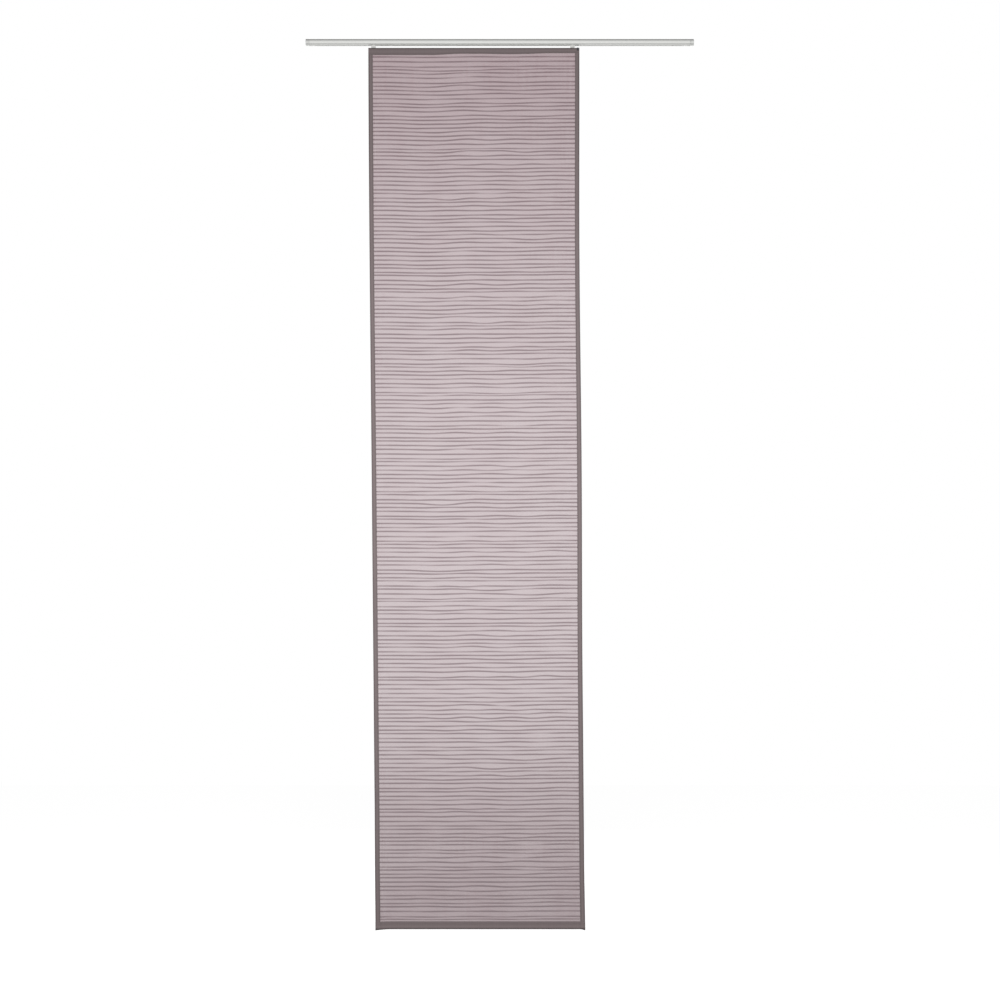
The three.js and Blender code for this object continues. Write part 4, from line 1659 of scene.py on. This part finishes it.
    def pocket_outside(self) -> Array:
        """Outside section of the pocket, from its top at the front round the bottom to the back.

        The bottom is a half circle. Up the sides the half width stays full, and over the seam
        it narrows by the square root of the height over the seam's lower end. Half a sine wave
        is taken off the sides.

        Returns:
            Points x 2 places: y from the pocket's middle, and z.
        """
        half, low = self.pocket_width / 2, self.hang.bottom
        top = low + self.pocket_height
        seam = top - self.seam
        up = np.linspace(low + half, seam, 16)
        rise = np.linspace(seam, top, 8)[1:]
        narrow = half + (self.seam_half - half) * ((rise - seam) / self.seam) ** 0.5
        z = np.concatenate([up, rise])
        hollow = self.pocket_hollow * np.sin(np.pi * np.clip((z - low) / (seam - low), 0.0, 1.0))
        y = np.concatenate([np.full(len(up), half), narrow]) - hollow
        turn = np.linspace(math.pi, 2.0 * math.pi, 19)[1:-1]
        below = np.stack([half * np.cos(turn), low + half + half * np.sin(turn)], axis=-1)
        back = np.stack([y, z], axis=-1)
        return evenly(np.concatenate([back[::-1] * (-1.0, 1.0), below, back]), self.pocket_points)

    def pocket_inside(self, outside: Array) -> Array:
        """Inside section of the pocket: the outside, held one ply in and narrower at the bottom.

        Below the half circle's middle the width falls by the root of 1 less a share of the
        depth squared.

        Args:
            outside: the outside section.

        Returns:
            As many places as the outside has.
        """
        half, low, wall = self.pocket_width / 2, self.hang.bottom, self.pocket_ply
        seam = low + self.pocket_height - self.seam
        y = np.clip(outside[:, 0], -(half - wall), half - wall)
        z = np.clip(outside[:, 1], low + wall, seam - self.slot_gap)
        depth = np.clip((low + half - z) / half, 0.0, 1.0)
        y = y * np.sqrt(1.0 - self.slot_narrows * depth**2)
        return evenly(np.stack([y, z], axis=-1), self.pocket_points)

    def painted_pocket_shade(self, over: Array, from_edge: Array) -> Array:
        """Painted shade on the pocket: along its bottom, at its ends, at the side hems' edges and in its
        lower corners, with a painted highlight where the bar bulges.

        Args:
            over: height over the bottom edge.
            from_edge: distance from the nearer side edge of the cloth.

        Returns:
            Painted darkness, below 0 where the painted highlight lightens it.
        """
        fold = self.pocket_fold_painted_shade * (1.0 - smooth_step(*self.pocket_fold_shade_span, over))
        shine = self.pocket_painted_highlight[0] * bell(over - self.pocket_highlight_height, self.pocket_painted_highlight[1])
        end = self.end_painted_shade[0] * bell(from_edge, self.end_painted_shade[1])
        hem = self.hem_edge_painted_shade[0] * bell(from_edge - self.side_bottom, self.hem_edge_painted_shade[1])
        corner = self.corner_painted_shade[0] * bell(from_edge, self.corner_painted_shade[1])
        corner = corner * (1.0 - smooth_step(*self.corner_shade_span, over))
        return np.minimum(fold - shine + (end + hem + corner), self.pocket_fold_painted_shade)

    def pocket(self) -> bpy.types.Object:
        """Makes the pocket: a flat tube with a wall, a little thicker over the side hems.

        Its columns stand closer together towards the cloth's edges, where the corners droop.

        Returns:
            The pocket.
        """
        hang = self.hang
        parts = [
            hang.left + np.linspace(0.0, 60.0, 25),
            np.linspace(hang.left + 70.0, hang.right - 40.0, 50),
            hang.right - np.linspace(30.0, 0.0, 16),
        ]
        x = np.concatenate(parts)[:, None]
        from_edge = np.minimum(x - hang.left, hang.right - x)
        hem, blend = self.side_bottom, self.pocket_thins_over
        past_hem = smooth_step(hem - blend, hem + blend, from_edge)
        thick = 1.0 + self.pocket_thicker * (1.0 - past_hem)
        outside = self.pocket_outside()
        grids = []
        for loop, wider in ((outside, thick), (self.pocket_inside(outside), 1.0)):
            flat = np.broadcast_arrays(x, self.pocket_middle + loop[:, 0] * wider, loop[:, 1])
            grids.append(hang.place(np.stack(flat, axis=-1)))
        shell = Shell()
        # The pocket's painted shade and highlight go into its thread attribute.
        shell.add_ring(*grids, self.painted_pocket_shade(outside[:, 1] - hang.bottom, from_edge))
        return shell.build("bar_pocket", sharp=math.radians(60.0))

    def stitches(
        self,
        name: str,
        rows: list[tuple[Array, float, Array | float, float]],
        along: tuple[float, float, float],
    ) -> bpy.types.Object:
        """Makes rows of stitches: short threads, fat in the middle and sunk at their ends.

        Args:
            name: the piece's name.
            rows: x, depth and z of each row on the flat pattern, and the way that the cloth
                faces under it, 1 to the room and -1 to the back.
            along: direction of every stitch, of length 1.

        Returns:
            The stitches.
        """
        parts = [np.stack(np.broadcast_arrays(x, depth, z, face), axis=-1) for x, depth, z, face in rows]
        table = np.concatenate(parts)
        places, face = table[:, :3], table[:, 3]
        share = np.linspace(-1.0, 1.0, 5)[:, None]
        turn = np.linspace(0.0, 2.0 * math.pi, 5, endpoint=False)
        fat = self.stitch_radius * np.sqrt(1.0 - self.stitch_taper * share**2)
        pattern = np.empty((5, 5, 3))
        pattern[..., 0] = share * (self.stitch_share * self.stitch_pitch)
        pattern[..., 1] = fat * np.cos(turn) - self.stitch_sink * share**2
        pattern[..., 2] = fat * np.sin(turn)
        axes = np.empty((len(places), 3, 3))
        axes[:, 0] = along
        axes[:, 1] = face[:, None] * (0.0, -1.0, 0.0)
        axes[:, 2] = face[:, None] * (-along[2], 0.0, along[0])
        copies = np.einsum("rck,nkj->nrcj", pattern, axes) + places[:, None, None, :]
        shell = Shell()
        shell.add_copies(np.einsum("rck,kj->rcj", pattern, axes[0]), self.hang.place(copies))
        return shell.build(name, sharp=math.radians(80.0))

    def side_stitches(self, side: Side) -> bpy.types.Object:
        """Makes the stitches of a side hem, on its front and its back.

        Args:
            side: the edge.

        Returns:
            The stitches.
        """
        hang = self.hang
        start = hang.top - self.top_left - self.side_row_below
        z = np.arange(start, hang.bottom + self.pocket_height, -self.stitch_pitch)
        x = hang.edge(side) - side.value * (self.side_width(z) - self.stitch_in)
        rows = [
            (x, self.side_front + self.sunk_front, z, 1.0),
            (x, self.side_back - self.sunk_side_back, z, -1.0),
        ]
        return self.stitches("side_stitches_" + side.label, rows, (0.0, 0.0, 1.0))

    def cross_stitches(self) -> bpy.types.Object:
        """Makes the stitches along the top hem and along the pocket's seam, front and back.

        Returns:
            The stitches.
        """
        hang, pitch = self.hang, self.stitch_pitch
        x = np.arange(hang.left + 1.5 * pitch, hang.right - pitch, pitch)
        top = hang.top - self.top_depth(x) + self.stitch_in
        seam = hang.bottom + self.pocket_height - self.seam_row * self.seam
        thin = self.pocket_width / 2 * self.seam_row_half
        rows = [
            (x, self.top_front + self.sunk_front, top, 1.0),
            (x, self.top_back - self.sunk_top_back, top, -1.0),
            (x, self.pocket_middle - thin, seam, 1.0),
            (x, self.pocket_middle + thin, seam, -1.0),
        ]
        return self.stitches("cross_stitches", rows, (1.0, 0.0, 0.0))


@dataclass
class Runners:
    """The gliders and the carrier that the cloth hangs from."""

    rail: RailSet
    hang: Hang = field(default_factory=Hang)
    glider_x: Span = (-355.0, 204.5)
    head: tuple[float, float, float] = (11.0, 4.7, 3.5)
    body: float = 6.0
    neck: float = 2.6
    collar: float = 4.0
    collar_drop: float = 1.4
    gap: float = 0.3
    groove_lip: float = 1.1
    foot_height: float = 1.6
    carrier_setback: float = 4.0
    carrier_height: float = 13.0
    carrier_depth: float = 3.0
    cap_length: float = 5.0
    cap_lip: float = 1.2
    cap_rounding: float = 0.9
    tongue: Span = (1.1, 2.2)
    tongue_drop: float = 1.2
    tongue_overlap: float = 0.4
    hook_side: Side = Side.RIGHT
    hook: Span = (216.5, 221.3)
    hook_front: float = -8.3
    hook_rise: float = 0.75
    hook_ply: float = 0.6
    hook_drop: float = 8.0
    hook_bend: float = 0.6
    hook_start: float = -0.5

    def glider(self, side: Side) -> bpy.types.Object:
        """Makes a glider: foot, stem, collar, neck and head, one above the other.

        Args:
            side: which of the two.

        Returns:
            The glider.
        """
        ledge = self.rail.bottom + self.rail.ledge + self.gap
        collar_top = self.rail.bottom - self.collar_drop
        collar_low = self.hang.top + self.gap
        foot_top = self.hang.top - self.groove_lip - self.gap
        foot_low = foot_top - self.foot_height
        length, width, height = self.head
        levels = [
            (foot_low, self.body, 2.0, 0.5),
            (foot_top, self.body, 2.0, 0.5),
            (foot_top, self.body, 1.2, 0.5),
            (collar_low, self.body, 1.2, 0.5),
            (collar_low, self.body, self.collar, 2.0),
            (collar_top, self.body, self.collar, 2.0),
            (collar_top, self.body, self.neck, 2.0),
            (ledge, self.body, self.neck, 2.0),
            (ledge, length, width, 2.4),
            (ledge + height, length, width, 2.4),
        ]
        grid = stacked_block(levels, 0.5)
        grid[..., 0] += self.glider_x[0 if side is Side.LEFT else 1]
        shell = Shell()
        shell.add_grid(grid, wrap=True, ends=True)
        return shell.build("runner_" + side.label)

    def carrier_cap(self, side: Side) -> bpy.types.Object:
        """Makes the dark cap on an end of the carrier, with the tongue that plugs the groove.

        Args:
            side: the end.

        Returns:
            The cap.
        """
        node_low, node_high = (np.array(corner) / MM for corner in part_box("carrier_cap_" + side.label))
        inner = self.hang.width / 2 - self.carrier_setback
        outer = inner + self.cap_length
        low, high = self.hang.top - self.carrier_height, self.hang.top + self.cap_lip
        start = min(abs(node_low[0] - self.hang.offset), abs(node_high[0] - self.hang.offset))
        half, depth = (high - low) / 2, self.carrier_depth
        plate = stacked_block([(end, half, depth, self.cap_rounding) for end in (inner, outer)], 0.7)
        ends = (start, inner + self.tongue_overlap)
        tongue = stacked_block([(end, *self.tongue, 0.3) for end in ends], 0.2)
        shell = Shell()
        tongue_middle = self.hang.top - self.groove_lip - self.tongue_drop
        for block, middle in ((plate, (low + high) / 2), (tongue, tongue_middle)):
            grid = np.empty_like(block)
            grid[..., 0] = self.hang.offset + side.value * block[..., 2]
            grid[..., 1] = block[..., 1]
            grid[..., 2] = middle + block[..., 0]
            shell.add_grid(grid, wrap=True, ends=True)
        if side is self.hook_side:
            shell.add_grid(self.hook_strip(), wrap=True, ends=True)
        return shell.build("carrier_end_" + side.label)

    def hook_strip(self) -> Array:
        """Makes the strip that holds the cloth's corner: over its top edge and down its front.

        The strip is a rounded cross-section carried along three sides of a rounded corner: level
        over the cloth, a quarter turn, and down.

        Returns:
            The grid of its surface.
        """
        left, right = self.hook
        middle, half = (left + right) / 2, (right - left) / 2
        top = self.hang.top + self.hook_rise - self.hook_ply / 2
        front = self.hook_front + self.hook_ply / 2
        bend = self.hook_bend
        turn = np.linspace(0.0, math.pi / 2, 6)
        path_y = np.concatenate([[self.hook_start], front + bend - bend * np.sin(turn), [front]])
        path_z = np.concatenate([[top], top - bend + bend * np.cos(turn), [self.hang.top - self.hook_drop]])
        normal = np.concatenate([[0.0], turn, [math.pi / 2]])
        outline = rounded_outline(np.array([half]), np.array([self.hook_ply / 2]), np.array([0.2]))[0]
        grid = np.empty((len(path_y), len(outline), 3))
        grid[..., 0] = middle + outline[:, 0]
        grid[..., 1] = path_y[:, None] - np.sin(normal)[:, None] * outline[:, 1]
        grid[..., 2] = path_z[:, None] + np.cos(normal)[:, None] * outline[:, 1]
        return grid

    def dress(self) -> None:
        """Makes the gliders and caps, and gives the carrier, tapes and bar their finishes."""
        white = MouldedFinish("runner_plastic", (0.88, 0.88, 0.86), 0.35).build()
        dark = MouldedFinish("dark_plastic", (0.045, 0.045, 0.05), 0.5).build()
        for side in Side:
            place_piece(self.glider(side), Body.PANEL, white, "white_plastic", "glider_" + side.label)
            place_piece(self.carrier_cap(side), Body.PANEL, dark, "dark_plastic", "carrier_cap_" + side.label)
            dress_node("bar_cap_" + side.label, white)
        dress_node("panel_carrier", AnodisedFinish("anodised_carrier", metal=0.75).build())
        dress_node("hook_tape", TapeFinish("hook_pile", (0.78, 0.78, 0.76), 800.0).build())
        dress_node("loop_tape", TapeFinish("loop_pile", (0.28, 0.25, 0.255), 1300.0).build())
        dress_node("weight_bar", LacquerFinish().build())
        LOG.info("panel: two gliders, carrier with caps, tapes and bar")


@dataclass
class ClothPanel:
    """The cloth panel: the sheer field with its hems, pocket and stitching."""

    hang: Hang = field(default_factory=Hang)
    turned_in: float = 14.0
    top_turned_in: float = 17.4
    pocket_cut: float = 24.6

    def dress(self) -> None:
        """Makes the cloth."""
        sheer = ClothFinish("sheer_voile", Weave.SHEER).build()
        folded = ClothFinish("folded_voile", Weave.FOLDED).build()
        thread = ThreadFinish().build()
        cloth = RibbedField(self.hang).build()
        place_piece(cloth, Body.PANEL, sheer, "sheer_cloth", "panel_cloth")
        hems = Hems(self.hang)
        sewn = [hems.top(), hems.pocket(), *(hems.side(side) for side in Side)]
        rows = [hems.cross_stitches(), *(hems.side_stitches(side) for side in Side)]
        for piece in sewn:
            place_piece(piece, Body.PANEL, folded, "sheer_cloth")
        for piece in rows:
            place_piece(piece, Body.PANEL, thread, "sheer_cloth")
        LOG.info("cloth: field, %d folded edges and %d rows of stitches", len(sewn), len(rows))


# Putting the pieces in the frame


def place_piece(
    piece: bpy.types.Object, body: Body, finish: bpy.types.Material, slot: str, *nodes: str
) -> None:
    """Gives a new piece its finish and its body, and hides the CAD nodes that it replaces.

    Args:
        piece: the piece.
        body: the body that it moves with.
        finish: its material.
        slot: not used.
        *nodes: the CAD nodes that it replaces.
    """
    piece.data.materials.clear()
    piece.data.materials.append(finish)
    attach(piece, body.value)
    if nodes:
        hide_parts(*nodes)
    LOG.info("%s: %d faces on %s", piece.name, len(piece.data.polygons), body.value)


def dress_node(name: str, finish: bpy.types.Material) -> None:
    """Gives a CAD node its finish.

    Args:
        name: the node's name.
        finish: its material.
    """
    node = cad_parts[name]
    if not node.material_slots:
        node.data.materials.append(finish)
    for slot in node.material_slots:
        slot.material = finish


def main() -> None:
    """Makes the camera, the surroundings and each sub-assembly in order."""
    logging.basicConfig(level=logging.INFO, format="%(name)s: %(message)s")
    studio = Studio()
    studio.camera()
    studio.build()
    rail = RailSet()
    rail.dress()
    hang = Hang()
    Runners(rail, hang).dress()
    ClothPanel(hang).dress()


if __name__ == "__main__":
    main()
